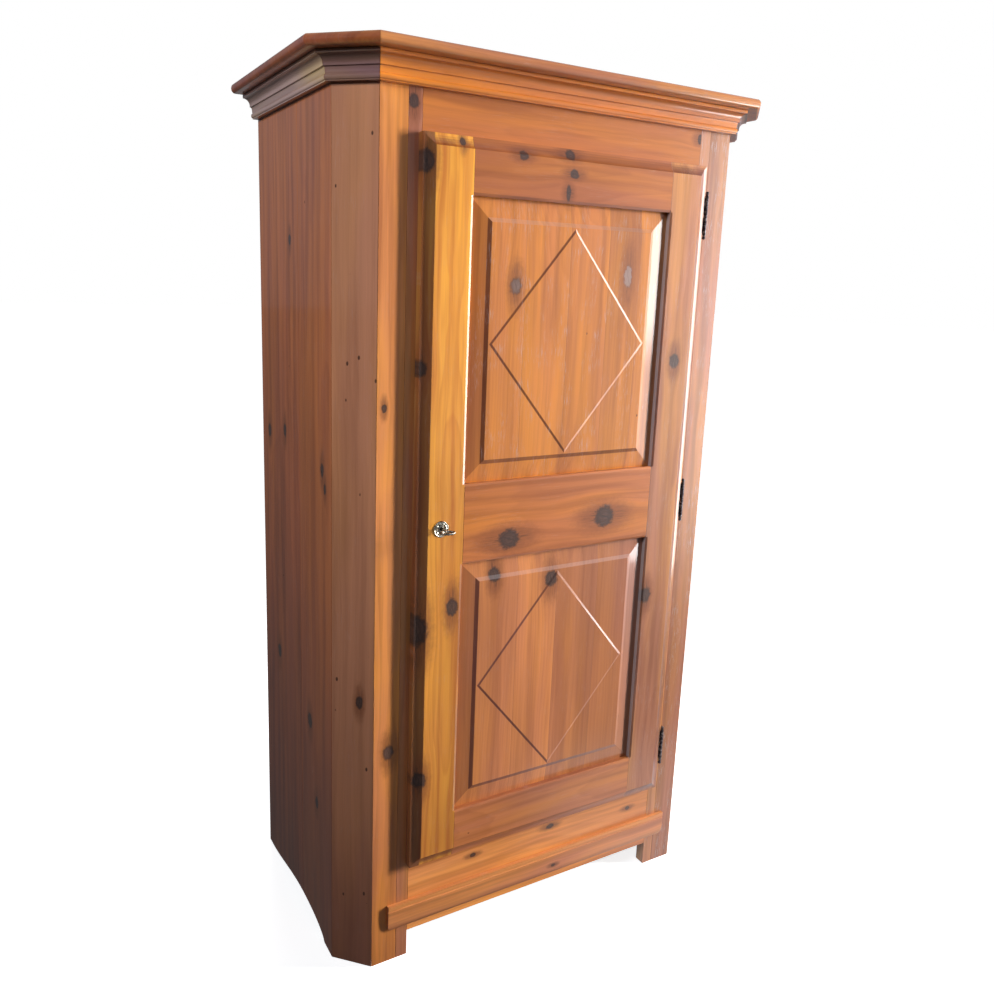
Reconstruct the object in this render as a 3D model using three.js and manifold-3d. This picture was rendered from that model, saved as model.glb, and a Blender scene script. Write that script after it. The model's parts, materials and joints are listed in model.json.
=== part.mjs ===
// A tall single-door cupboard with cut-off front corners, a mitred cornice, sides arched at the floor,
// and a bevelled door that lies on the front frame and holds two panels with a raised diamond on each.
// Millimetres. X runs to the right as seen from the front, Y runs into the cupboard and Z runs up.
// The origin is on the floor, in the middle of the whole cupboard's width and depth.

import * as THREE from 'three';
import { mergeVertices } from 'three/addons/utils/BufferGeometryUtils.js';
import Module from 'manifold-3d';

// Case

const frontWidth = 834;
const cantRun = 65;
const caseDepth = 523;
const caseHeight = 1830;
const frameThickness = 25;
const sideThickness = 20;
const stileWidth = 56;
const stripWidth = 27;
const openingBottom = 232;
const openingFromTop = 129;
const bottomRailUnderside = 59;
const frameTenonLength = 20;
const frameTenonThickness = 8;
const frameTenonShoulder = 14;

// Side boards, and the arch cut through them at the floor

const sideSeamFromArris = 190;
const tongueThickness = 6;
const tongueDepth = 7;
const archFromArris = 47;
const archFromBack = 23;
const archRise = 28;
const archPeakShare = 0.376;
const archRiseShares = [[0.03, 0.7], [0.2, 1]];
const archFallShares = [[0.6, 1], [0.8, 0.08]];
const archSteps = 12;

// Back boards

const backThickness = 12;
const backRebateWidth = 10;
const backBoardCount = 6;
const backLap = 8;
const backUnderside = 59;

// Inside

const shelfThickness = 20;
const shelfCount = 3;
const cleatHeight = 34;
const cleatWidth = 22;
const cleatEndMargin = 18;

// Cornice: how far each edge stands out from the case, and its height above the foot of the moulding

const topBoardThickness = 20;
const topBoardProjection = 58;
const noseDepth = 8;
const noseSteps = 8;
const corniceHeight = 48;
const corniceLip = 33;
const lipBottom = 41;
const cavettoFoot = 18;
const cavettoBottom = 27;
const fasciaBottom = 24;
const fasciaProjection = 16;
const coveFoot = 13;
const coveBottom = 14;
const beadSeat = 12;
const beadBulge = 3.5;
const beadTop = 12;
const beadBottom = 2;
const mouldingSteps = 6;

// Base moulding: how far it stands out from the frame, and its heights above the floor

const baseBottom = 77;
const baseTop = 137;
const baseEndMargin = 35;
const baseProjection = 9;
const baseToeProjection = 4;
const baseFilletHeight = 10;
const baseQuirkHeight = 3;
const baseQuirkDepth = 2.5;
const baseCornerRadius = 14;

// Door

const doorOverlap = 6;
const doorGap = 0.5;
const doorThickness = 27;
const doorEdgeThickness = 18;
const doorBevelWidth = 22;
const doorBevelSteps = 5;
const doorStileWidth = 101;
const topRailWidth = 103;
const middleRailWidth = 165;
const middleRailRise = 665;
const bottomRailWidth = 112;
const doorTenonLength = 38;
const doorTenonShoulder = 14;
const stileChamferWidth = 5;
const stileChamferDepth = 1.8;
const railChamferWidth = 5;
const railChamferDepth = 1.8;

// Fielded panels

const grooveDepth = 9;
const tonguePlay = 1.5;
const panelTongueThickness = 8;
const panelTongueSetback = 12;
const marginWidth = 36.6;
const marginRise = 4.2;
const fieldStepWidth = 8;
const fieldStepRise = 2.8;
const diamondInset = 5.5;
const diamondEdgeWidth = 5;
const diamondRise = 1.2;

// Pin hinges

const hingeFromTop = 102;
const hingeFromBottom = 114;
const hingeAxisClearance = 6.5;
const knuckleRadius = 4;
const knuckleLength = 41;
const knuckleGap = 0.5;
const hingePinRadius = 2;
const hingePinLength = 24;
const finialNeckRadius = 2.6;
const finialNeckLength = 1.4;
const finialRadius = 4;
const finialSteps = 5;
const leafThickness = 1.6;
const leafEndMargin = 4;
const frameLeafDepth = 18;
const doorLeafDepth = 20;

// Lock, bolt, keeper and key

const lockHeight = 970;
const keyFromDoorEdge = 50.5;
const lockCaseWidth = 62;
const lockCaseHeight = 74;
const lockCaseDepth = 14;
const lockWall = 1.6;
const lockCaseMargin = 3;
const boltHeight = 14;
const boltThickness = 6;
const boltLength = 44;
const boltLift = 19;
const keeperThickness = 1.6;
const keeperWidth = 14;
const keeperHeight = 38;
const keeperPlay = 1.5;
const pocketDepth = 16;
const escutcheonRadius = 16.5;
const escutcheonThickness = 2.6;
const escutcheonShares = [
  [0, 0], [1, 0], [1, 0.45], [0.94, 0.75], [0.84, 0.6], [0.78, 0.35], [0.6, 0.75], [0.35, 1], [0, 1],
];
const keyReach = 40;
const keyShankRadius = 2.6;
const keyCollarRadius = 4.4;
const keyCollarWidth = 3;
const keyCollarFromBow = 5;
const keyBitReach = 9.5;
const keyBitLength = 7;
const keyBitThickness = 2.4;
const keyBitFromEnd = 1.5;
const wardDepth = 3;
const wardWidth = 1.6;
const bowWidth = 34;
const bowLength = 22;
const bowRodRadius = 2.4;
const bowSteps = 20;
const bowRodSides = 8;

// Clearances, the overrun of every cut, and the steps of a turned piece

const seam = 0.3;
const runningGap = 0.5;
const overrun = 4;
const turnedSteps = 20;

// Places worked out from the sizes above

const halfFront = frontWidth / 2;
const halfCase = halfFront + cantRun;
const halfInside = halfCase - sideThickness;
const halfOpening = halfFront - stileWidth - stripWidth;
const openingTop = caseHeight - openingFromTop;
const boardTop = caseHeight - seam;
const corniceFoot = caseHeight - corniceHeight;
const backFront = caseDepth - backThickness;
const mitreRun = frameThickness * Math.tan(Math.PI / 8);
const cantInsideLine = halfFront - mitreRun - frameThickness;

const halfDoor = halfOpening + doorOverlap;
const halfPanelOpening = halfDoor - doorStileWidth;
const doorBottom = openingBottom - doorOverlap;
const doorTop = openingTop + doorOverlap;
const doorBack = -doorGap;
const doorArris = doorBack - doorEdgeThickness;
const doorFace = doorBack - doorThickness;
const lowerOpening = [doorBottom + bottomRailWidth, doorBottom + middleRailRise];
const upperOpening = [lowerOpening[1] + middleRailWidth, doorTop - topRailWidth];
const tongueFront = doorFace + panelTongueSetback;
const tongueBack = tongueFront + panelTongueThickness;

const hingeX = halfDoor + hingeAxisClearance;
const hingeY = doorArris;
const hingeHeights = {
  top: doorTop - hingeFromTop,
  middle: (doorTop + doorBottom) / 2,
  bottom: doorBottom + hingeFromBottom,
};
const lockX = keyFromDoorEdge - halfDoor;
const lockCaseLeft = lockCaseMargin - halfOpening;
const lockCaseBack = doorBack + lockCaseDepth;
const boltBack = lockCaseBack - lockWall - runningGap;
const boltCentreY = boltBack - boltThickness / 2;
const boltCentreZ = lockHeight + boltLift;
const keyTip = doorFace - keyReach;
const frontPlane = (-keyTip - caseDepth) / 2;

const wasm = await Module();
wasm.setup();

// Colours

const finish = (color, roughness, metalness) => new THREE.MeshStandardMaterial({
  color, roughness, metalness, flatShading: true,
});
const pine = finish(0xc98a52, 0.38, 0);
const palePine = finish(0xd9a05c, 0.36, 0);
const panelPine = finish(0xb97c4c, 0.36, 0);
const moulding = finish(0xbd7f4a, 0.4, 0);
const rawPine = finish(0xcaa26f, 0.7, 0);
const blackIron = finish(0x2b2826, 0.42, 1);
const brass = finish(0xa8976a, 0.34, 1);

// Solids from faces

function facingOut(geometry) {
  const corner = (index) => new THREE.Vector3().fromBufferAttribute(geometry.attributes.position, index);
  const faces = [...geometry.index.array];
  let volume = 0;
  for (let face = 0; face < faces.length; face += 3) {
    volume += corner(faces[face]).dot(corner(faces[face + 1]).cross(corner(faces[face + 2])));
  }
  geometry.setIndex(volume < 0 ? faces.reverse() : faces);
  return geometry;
}

// The same surface on shared points, without the empty faces at the poles of a turned piece.
function closed(geometry) {
  const bare = geometry.clone();
  bare.deleteAttribute('normal');
  bare.deleteAttribute('uv');
  const merged = mergeVertices(bare);
  const index = merged.index.array;
  const faces = [];
  for (let face = 0; face < index.length; face += 3) {
    const corners = [index[face], index[face + 1], index[face + 2]];
    if (new Set(corners).size === corners.length) {
      faces.push(...corners);
    }
  }
  merged.setIndex(faces);
  return facingOut(merged);
}

function solidOf(geometry) {
  const merged = closed(geometry);
  const vertProperties = new Float32Array(merged.attributes.position.array);
  const triVerts = new Uint32Array(merged.index.array);
  return new wasm.Manifold(new wasm.Mesh({ numProp: 3, vertProperties, triVerts }));
}

function geometryOf(solid) {
  const mesh = solid.getMesh();
  const geometry = new THREE.BufferGeometry();
  geometry.setAttribute('position', new THREE.BufferAttribute(new Float32Array(mesh.vertProperties), 3));
  geometry.setIndex(new THREE.BufferAttribute(new Uint32Array(mesh.triVerts), 1));
  return geometry;
}

function cut(body, ...cutters) {
  return geometryOf(cutters.reduce((solid, cutter) => solid.subtract(solidOf(cutter)), solidOf(body)));
}

function join(body, ...additions) {
  return geometryOf(additions.reduce((solid, addition) => solid.add(solidOf(addition)), solidOf(body)));
}

function common(first, second) {
  return geometryOf(solidOf(first).intersect(solidOf(second)));
}

function mirrored(geometry) {
  return closed(geometry.clone().scale(-1, 1, 1));
}

// Forms

function block(x0, x1, y0, y1, z0, z1) {
  const geometry = new THREE.BoxGeometry(x1 - x0, y1 - y0, z1 - z0);
  return geometry.translate((x0 + x1) / 2, (y0 + y1) / 2, (z0 + z1) / 2);
}

const shapeOf = (outline) => new THREE.Shape(outline.map(([across, up]) => new THREE.Vector2(across, up)));

function raised(shape, z0, z1) {
  return new THREE.ExtrudeGeometry(shape, { depth: z1 - z0, bevelEnabled: false }).translate(0, 0, z0);
}

// A shape seen from the front, with its own up along Z, carried back from y0 to y1.
function carriedBack(shape, y0, y1) {
  const geometry = new THREE.ExtrudeGeometry(shape, { depth: y1 - y0, bevelEnabled: false });
  return geometry.rotateX(Math.PI / 2).translate(0, y1, 0);
}

// A shape seen from the side, with its own across along Y and its up along Z, carried from x0 to x1.
function carriedAcross(shape, x0, x1, curveSegments = archSteps) {
  const geometry = new THREE.ExtrudeGeometry(shape, { depth: x1 - x0, bevelEnabled: false, curveSegments });
  return geometry.rotateX(Math.PI / 2).rotateZ(Math.PI / 2).translate(x0, 0, 0);
}

// A skin through equal loops of points, capped at both ends or joined end to end.
function loft(loops, endless = false) {
  const count = loops[0].length;
  const faces = [];
  const bands = endless ? loops.length : loops.length - 1;
  for (let band = 0; band < bands; band += 1) {
    const near = band * count;
    const far = ((band + 1) % loops.length) * count;
    for (let side = 0; side < count; side += 1) {
      const next = (side + 1) % count;
      faces.push(near + side, near + next, far + next, near + side, far + next, far + side);
    }
  }
  if (!endless) {
    const last = (loops.length - 1) * count;
    capFaces(loops[0]).forEach(([a, b, c]) => faces.push(a, c, b));
    capFaces(loops.at(-1)).forEach(([a, b, c]) => faces.push(last + a, last + b, last + c));
  }
  const geometry = new THREE.BufferGeometry().setFromPoints(loops.flat());
  geometry.setIndex(faces);
  return facingOut(geometry);
}

// The triangles of a flat loop, turning the same way as the loop.
function capFaces(loop) {
  const normal = new THREE.Vector3();
  loop.forEach((point, index) => normal.add(point.clone().cross(loop[(index + 1) % loop.length])));
  const across = loop[1].clone().sub(loop[0]).normalize();
  const up = normal.normalize().cross(across);
  const flat = loop.map((point) => new THREE.Vector2(point.dot(across), point.dot(up)));
  const turnsAlike = ([a, b, c]) => THREE.ShapeUtils.area([flat[a], flat[b], flat[c]]) > 0;
  return THREE.ShapeUtils.triangulateShape(flat, [])
    .map((face) => (turnsAlike(face) ? face : face.reverse()));
}

// Points on an arc of an ellipse, between two angles in quarter turns.
function arc(centre, radii, fromQuarter, toQuarter, steps) {
  return Array.from({ length: steps + 1 }, (_, step) => {
    const angle = (Math.PI / 2) * (fromQuarter + ((toQuarter - fromQuarter) * step) / steps);
    return [centre[0] + radii[0] * Math.cos(angle), centre[1] + radii[1] * Math.sin(angle)];
  });
}

// A profile of radius and place, turned about the Y axis.
function turned(profile) {
  const points = profile.map(([radius, place]) => new THREE.Vector2(radius, place));
  return closed(new THREE.LatheGeometry(points, turnedSteps));
}

// Plan of the case: a corner of its outer faces moved out by a distance, on the right-hand side.
function planCorner(corner, outwards) {
  const turn = outwards * Math.tan(Math.PI / 8);
  const corners = {
    front: [halfFront + turn, -outwards],
    side: [halfCase + outwards, cantRun - turn],
    back: [halfCase + outwards, caseDepth],
  };
  return corners[corner];
}

// Front frame

// A tenon on the right-hand end of a rail, or the mortise for it, with a clearance all round.
function tenon(shoulder, length, y0, y1, z0, z1, clearance) {
  const end = shoulder + length + clearance;
  return block(shoulder - overrun, end, y0 - clearance, y1 + clearance, z0 - clearance, z1 + clearance);
}

function frameTenon(z0, z1, clearance) {
  const front = (frameThickness - frameTenonThickness) / 2;
  return tenon(halfOpening, frameTenonLength, front, front + frameTenonThickness,
    z0 + frameTenonShoulder, z1 - frameTenonShoulder, clearance);
}

const frameRails = [[bottomRailUnderside, openingBottom], [openingTop, boardTop]];

function stile() {
  return raised(shapeOf([
    [halfFront - stileWidth, 0],
    [halfFront, 0],
    [halfFront - mitreRun, frameThickness],
    [halfFront - stileWidth, frameThickness],
  ]), 0, boardTop);
}

function strip() {
  const outer = halfOpening + stripWidth - seam;
  const board = block(halfOpening, outer, 0, frameThickness, 0, boardTop);
  return cut(board, ...frameRails.map(([z0, z1]) => frameTenon(z0, z1, seam)));
}

function hingeStrip() {
  return cut(strip(), ...Object.values(hingeHeights).map((height) => frameLeaf(height, seam)));
}

function lockStrip() {
  const face = -halfOpening;
  const recess = keeperBody(keeperThickness + seam, seam);
  const pocket = boltWay(face - pocketDepth, face + overrun, keeperPlay);
  return cut(mirrored(strip()), recess, pocket);
}

function frameRail([z0, z1]) {
  const body = block(seam - halfOpening, halfOpening - seam, 0, frameThickness, z0, z1);
  const end = frameTenon(z0, z1, 0);
  return join(body, end, mirrored(end));
}

function cantBoard() {
  const slant = seam * Math.SQRT1_2;
  return raised(shapeOf([
    [halfFront + slant, slant],
    [halfCase - slant, cantRun - slant],
    [halfInside - slant, halfInside - cantInsideLine - slant],
    [cantInsideLine + frameThickness + slant, frameThickness + slant],
  ]), 0, boardTop);
}

function baseMoulding() {
  const quirkTop = baseTop - baseFilletHeight;
  const roundTop = quirkTop - baseQuirkHeight;
  const bulge = baseProjection - baseToeProjection;
  const profile = [
    [seam, baseTop],
    [baseProjection, baseTop],
    [baseProjection, quirkTop],
    [baseProjection - baseQuirkDepth, quirkTop - baseQuirkHeight / 2],
    [baseProjection, roundTop],
    ...arc([baseToeProjection, roundTop], [bulge, roundTop - baseBottom], 0, -1, mouldingSteps).slice(1),
    [seam, baseBottom],
  ];
  const end = halfFront - baseEndMargin;
  const length = loft([-end, end].map((x) => profile.map(([out, z]) => new THREE.Vector3(x, -out, z))));
  return common(length, carriedBack(baseMouldingFace(end), -baseProjection - overrun, overrun));
}

// The moulding's front view, with its lower corners rounded off.
function baseMouldingFace(end) {
  const low = baseBottom;
  const top = baseTop + overrun;
  const shape = new THREE.Shape();
  shape.moveTo(-end, top);
  shape.lineTo(-end, low + baseCornerRadius);
  shape.quadraticCurveTo(-end, low, baseCornerRadius - end, low);
  shape.lineTo(end - baseCornerRadius, low);
  shape.quadraticCurveTo(end, low, end, low + baseCornerRadius);
  shape.lineTo(end, top);
  return shape;
}

// Sides and back

function archCutter() {
  const start = cantRun + archFromArris;
  const length = caseDepth - archFromBack - start;
  const place = ([along, up]) => [start + length * along, archRise * up];
  const shape = new THREE.Shape();
  shape.moveTo(start, -overrun);
  shape.lineTo(start, 0);
  shape.bezierCurveTo(...archRiseShares.flatMap(place), ...place([archPeakShare, 1]));
  shape.bezierCurveTo(...archFallShares.flatMap(place), ...place([1, 0]));
  shape.lineTo(start + length, -overrun);
  return carriedAcross(shape, halfInside - overrun, halfCase + overrun);
}

function sideFrontBoard() {
  const middle = halfCase - sideThickness / 2;
  const end = cantRun + sideSeamFromArris;
  const board = raised(shapeOf([
    [halfCase, cantRun],
    [halfCase, end],
    [middle + tongueThickness / 2, end],
    [middle + tongueThickness / 2, end + tongueDepth],
    [middle - tongueThickness / 2, end + tongueDepth],
    [middle - tongueThickness / 2, end],
    [halfInside, end],
    [halfInside, halfInside - cantInsideLine],
  ]), 0, boardTop);
  return cut(board, archCutter());
}

function sideRearBoard() {
  const middle = halfCase - sideThickness / 2;
  const grooveHalf = tongueThickness / 2 + seam;
  const start = cantRun + sideSeamFromArris + seam;
  const board = raised(shapeOf([
    [halfCase, start],
    [halfCase, caseDepth],
    [halfInside + backRebateWidth, caseDepth],
    [halfInside + backRebateWidth, backFront],
    [halfInside, backFront],
    [halfInside, start],
    [middle - grooveHalf, start],
    [middle - grooveHalf, start + tongueDepth],
    [middle + grooveHalf, start + tongueDepth],
    [middle + grooveHalf, start],
  ]), 0, boardTop);
  return cut(board, archCutter());
}

// One of the lapped boards, counted from the left: its back half reaches behind the next board.
function backBoard(place) {
  const half = halfInside + backRebateWidth - seam;
  const pitch = (2 * half) / backBoardCount;
  const left = pitch * place - half;
  const right = left + pitch - seam;
  const middle = backFront + backThickness / 2;
  const reach = place === backBoardCount - 1 ? 0 : backLap;
  const rebate = place === 0 ? 0 : backLap;
  return raised(shapeOf([
    [left, backFront + seam],
    [right, backFront + seam],
    [right, middle],
    [right + reach, middle],
    [right + reach, caseDepth],
    [left + rebate, caseDepth],
    [left + rebate, middle - seam],
    [left, middle - seam],
  ]), backUnderside, boardTop);
}

// Inside

function shelfTop(place) {
  return openingBottom + (place * (caseHeight - openingBottom)) / (shelfCount + 1);
}

// A floor or shelf that fills the case, kept a seam clear of the walls.
function shelf(top) {
  const line = cantInsideLine - seam * Math.SQRT2;
  const front = frameThickness + seam;
  const side = halfInside - seam;
  const right = [[line + front, front], [side, side - line], [side, backFront - seam]];
  const left = right.map(([x, y]) => [-x, y]).reverse();
  return raised(shapeOf([...right, ...left]), top - shelfThickness, top);
}

function cleat(top) {
  const highest = top - shelfThickness - seam;
  const start = halfInside - cantInsideLine + cleatEndMargin;
  return block(halfInside - cleatWidth, halfInside - seam, start, backFront - cleatEndMargin,
    highest - cleatHeight, highest);
}

// Cornice

function topBoard() {
  const half = topBoardThickness / 2;
  const centre = [topBoardProjection - noseDepth, caseHeight + half];
  const nose = arc(centre, [noseDepth, half], -1, 1, noseSteps);
  return loft(nose.map(([outwards, z]) => {
    const right = ['back', 'side', 'front'].map((corner) => planCorner(corner, outwards));
    const left = right.map(([x, y]) => [-x, y]).reverse();
    return [...right, ...left].map(([x, y]) => new THREE.Vector3(x, y, z));
  }));
}

function corniceProfile() {
  const cavetto = [corniceLip - cavettoFoot, lipBottom - cavettoBottom];
  const cove = [fasciaProjection - coveFoot, fasciaBottom - coveBottom];
  const bead = [beadBulge, (beadTop - beadBottom) / 2];
  return [
    [seam, corniceHeight - seam],
    [corniceLip, corniceHeight - seam],
    ...arc([corniceLip, cavettoBottom], cavetto, 1, 2, mouldingSteps),
    [cavettoFoot, fasciaBottom],
    ...arc([fasciaProjection, coveBottom], cove, 1, 2, mouldingSteps),
    ...arc([beadSeat, (beadTop + beadBottom) / 2], bead, 1, -1, mouldingSteps),
    [beadSeat, 0],
    [seam, 0],
  ];
}

// A length of the cornice between two corners of the plan, each end moved in along the length by a gap.
function corniceLength(from, to, fromGap, toGap) {
  const ends = [[from, to, fromGap], [to, from, toGap]];
  return loft(ends.map(([here, there, gap]) => corniceProfile().map(([outwards, height]) => {
    const start = new THREE.Vector2(...here(outwards));
    const step = new THREE.Vector2(...there(outwards)).sub(start).setLength(gap);
    return new THREE.Vector3(start.x + step.x, start.y + step.y, corniceFoot + height);
  })));
}

const rightCorner = (corner) => (outwards) => planCorner(corner, outwards);
const leftCorner = (corner) => (outwards) => {
  const [x, y] = planCorner(corner, outwards);
  return [-x, y];
};

const corniceFront = () => corniceLength(leftCorner('front'), rightCorner('front'), 0, 0);
const corniceCant = () => corniceLength(rightCorner('front'), rightCorner('side'), seam, seam);
const corniceSide = () => corniceLength(rightCorner('side'), rightCorner('back'), 0, 0);

// Door frame

// A rectangle drawn in from its edges by an inset at each place along Y, and closed flat at both ends.
function steppedSlab(halfWidth, z0, z1, levels) {
  return loft(levels.map(([inset, y]) => [
    new THREE.Vector3(inset - halfWidth, y, z0 + inset),
    new THREE.Vector3(halfWidth - inset, y, z0 + inset),
    new THREE.Vector3(halfWidth - inset, y, z1 - inset),
    new THREE.Vector3(inset - halfWidth, y, z1 - inset),
  ]));
}

// The whole door without its openings: a square edge, then a hollow bevel that steepens up to the face.
function doorBlank() {
  const bevel = Array.from({ length: doorBevelSteps + 1 }, (_, step) => {
    const share = step / doorBevelSteps;
    return [doorBevelWidth * share, doorArris - (doorThickness - doorEdgeThickness) * share * share];
  });
  return steppedSlab(halfDoor, doorBottom, doorTop, [[0, doorBack], ...bevel]);
}

function panelGroove([z0, z1]) {
  const reach = halfPanelOpening + grooveDepth;
  return block(-reach, reach, tongueFront - seam, tongueBack + seam, z0 - grooveDepth, z1 + grooveDepth);
}

// The wedge that takes off an arris of the door's face: its width lies across the face, its depth into it.
function chamferWedge(edge, into, width, depth) {
  return [
    [edge - into * width, doorFace - depth],
    [edge + 2 * into * width, doorFace - depth],
    [edge - into * width, doorFace + 2 * depth],
  ];
}

function stileChamfer([z0, z1]) {
  return raised(shapeOf(chamferWedge(halfPanelOpening, 1, stileChamferWidth, stileChamferDepth)), z0, z1);
}

function railChamfers([z0, z1]) {
  const ends = [[z0, -1], [z1, 1]];
  return ends.map(([edge, into]) => {
    const wedge = chamferWedge(edge, into, railChamferWidth, railChamferDepth);
    return carriedAcross(shapeOf(wedge.map(([z, y]) => [y, z])), -halfDoor, halfDoor);
  });
}

const doorOpenings = [lowerOpening, upperOpening];
const doorRails = {
  bottom: [doorBottom, lowerOpening[0]],
  middle: [lowerOpening[1], upperOpening[0]],
  top: [upperOpening[1], doorTop],
};

function doorTenon([z0, z1], clearance) {
  return tenon(halfPanelOpening, doorTenonLength, tongueFront, tongueBack,
    z0 + doorTenonShoulder, z1 - doorTenonShoulder, clearance);
}

function doorStile() {
  const board = block(halfPanelOpening, halfDoor + overrun, doorFace - overrun, doorBack + overrun,
    doorBottom - overrun, doorTop + overrun);
  const mortises = Object.values(doorRails).map((rail) => doorTenon(rail, seam));
  return cut(common(board, doorBlank()), ...doorOpenings.map(panelGroove),
    ...doorOpenings.map(stileChamfer), ...mortises);
}

function hingeStile() {
  return cut(doorStile(), ...Object.values(hingeHeights).map((height) => doorLeaf(height, seam)));
}

function lockStile() {
  return cut(mirrored(doorStile()), keyhole(doorFace - overrun, doorBack + overrun));
}

function doorRail([z0, z1]) {
  const shoulder = halfPanelOpening - seam;
  const board = block(-shoulder, shoulder, doorFace - overrun, doorBack + overrun, z0, z1);
  const end = doorTenon([z0, z1], 0);
  const shaped = cut(common(board, doorBlank()), ...doorOpenings.map(panelGroove),
    ...doorOpenings.flatMap(railChamfers));
  return join(shaped, end, mirrored(end));
}

// Fielded panels

function panel([z0, z1]) {
  const tongue = tonguePlay - grooveDepth;
  const stepFoot = tongueFront - marginRise;
  const field = stepFoot - fieldStepRise;
  const board = steppedSlab(halfPanelOpening, z0, z1, [
    [tongue, tongueBack],
    [tongue, tongueFront],
    [0, tongueFront],
    [marginWidth, stepFoot],
    [marginWidth + fieldStepWidth, field],
  ]);
  return join(board, diamond(z0, z1, field));
}

// A diamond that stands a little proud of the field, with a sloping edge all round it.
function diamond(z0, z1, field) {
  const inset = marginWidth + fieldStepWidth + diamondInset;
  const halfWide = halfPanelOpening - inset;
  const halfHigh = (z1 - z0) / 2 - inset;
  const apothem = (halfWide * halfHigh) / Math.hypot(halfWide, halfHigh);
  const points = [[1, 0], [0, 1], [-1, 0], [0, -1]];
  const outline = (offset, y) => points.map(([across, up]) => {
    const scale = 1 + offset / apothem;
    return new THREE.Vector3(across * halfWide * scale, y, (z0 + z1) / 2 + up * halfHigh * scale);
  });
  const half = diamondEdgeWidth / 2;
  return loft([outline(half, field + seam), outline(half, field), outline(-half, field - diamondRise)]);
}

// Pin hinges: the lower half with its pin is on the case, the upper half is on the door

function knuckleProfile(inner) {
  const start = knuckleGap / 2;
  const shoulder = start + knuckleLength;
  const centre = shoulder + finialNeckLength + finialRadius;
  return [
    ...inner,
    [knuckleRadius, start],
    [knuckleRadius, shoulder],
    [finialNeckRadius, shoulder],
    [finialNeckRadius, shoulder + finialNeckLength],
    ...arc([0, centre], [finialRadius, finialRadius], -0.6, 1, finialSteps),
  ];
}

const stoodAtHinge = (geometry, height) => geometry.translate(hingeX, hingeY, height);

function frameLeaf(height, clearance) {
  const half = leafThickness / 2 + clearance;
  const highest = height - knuckleGap / 2 - leafEndMargin;
  const lowest = height - knuckleLength + leafEndMargin;
  return block(hingeX - half, hingeX + half, hingeY, frameLeafDepth + clearance,
    lowest - clearance, highest + clearance);
}

function doorLeaf(height, clearance) {
  const back = hingeY + knuckleRadius;
  const lowest = height + knuckleGap / 2 + leafEndMargin;
  const highest = height + knuckleLength - leafEndMargin;
  return block(halfDoor - doorLeafDepth - clearance, hingeX,
    back - leafThickness - clearance, back + clearance, lowest - clearance, highest + clearance);
}

function hingeFrameHalf(height) {
  const pinTop = knuckleGap / 2 - hingePinLength;
  const profile = knuckleProfile([[0, pinTop], [hingePinRadius, pinTop], [hingePinRadius, knuckleGap / 2]]);
  const knuckle = turned(profile).rotateX(-Math.PI / 2);
  return join(stoodAtHinge(knuckle, height), frameLeaf(height, 0));
}

function hingeDoorHalf(height) {
  const bore = hingePinRadius + seam;
  const boreEnd = hingePinLength + seam;
  const profile = knuckleProfile([[0, boreEnd], [bore, boreEnd], [bore, knuckleGap / 2]]);
  const knuckle = turned(profile).rotateX(Math.PI / 2);
  return cut(join(stoodAtHinge(knuckle, height), doorLeaf(height, 0)), hingeBore(height, bore, boreEnd));
}

// Keeps the pin's hole open where the leaf's root reaches into the knuckle.
function hingeBore(height, radius, depth) {
  const bore = turned([[0, 0], [radius, 0], [radius, depth], [0, depth]]).rotateX(Math.PI / 2);
  return stoodAtHinge(bore, height);
}

// Lock

const lockPlace = (geometry) => geometry.translate(lockX, 0, lockHeight);

// A round hole for the shank with a slot below it for the bit.
function keyhole(y0, y1) {
  const radius = keyShankRadius + runningGap;
  const half = keyBitThickness / 2 + runningGap;
  const low = -keyBitReach - runningGap;
  const turn = Math.asin(half / radius);
  const shape = new THREE.Shape();
  shape.moveTo(-half, low);
  shape.lineTo(half, low);
  shape.absarc(0, 0, radius, turn - Math.PI / 2, Math.PI + Math.PI / 2 - turn, false);
  return lockPlace(carriedBack(shape, y0, y1));
}

function escutcheon() {
  const face = doorFace - seam;
  const disc = turned(escutcheonShares.map(([out, up]) => [
    escutcheonRadius * out, face - (escutcheonThickness - seam) * up,
  ]));
  return cut(lockPlace(disc), keyhole(face - escutcheonThickness - overrun, face + overrun));
}

// The way of the bolt between two places along X, with play all round it.
function boltWay(x0, x1, play) {
  const halfThick = boltThickness / 2 + play;
  const halfHigh = boltHeight / 2 + play;
  return block(x0, x1, boltCentreY - halfThick, boltCentreY + halfThick,
    boltCentreZ - halfHigh, boltCentreZ + halfHigh);
}

function lockCase() {
  const right = lockCaseLeft + lockCaseWidth;
  const low = lockHeight - lockCaseHeight / 2;
  const high = low + lockCaseHeight;
  const box = block(lockCaseLeft, right, doorBack + seam, lockCaseBack, low, high);
  const hollow = block(lockCaseLeft + lockWall, right - lockWall,
    doorBack - overrun, lockCaseBack - lockWall, low + lockWall, high - lockWall);
  return cut(box, hollow, boltWay(lockCaseLeft - overrun, lockCaseLeft + lockWall + overrun, runningGap));
}

const lockBolt = () => boltWay(lockCaseLeft, lockCaseLeft + boltLength, 0);

// The keeper lies flush in the edge of the strip; the recess for it is this body with a clearance.
function keeperBody(depth, clearance) {
  const halfWide = keeperWidth / 2 + clearance;
  const halfHigh = keeperHeight / 2 + clearance;
  return block(-halfOpening - depth, -halfOpening, boltCentreY - halfWide, boltCentreY + halfWide,
    boltCentreZ - halfHigh, boltCentreZ + halfHigh);
}

function keeperPlate() {
  const hole = boltWay(-halfOpening - keeperThickness - overrun, overrun - halfOpening, keeperPlay);
  return cut(keeperBody(keeperThickness, 0), hole);
}

// The key, turned so that its bow and its bit lie level

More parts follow.
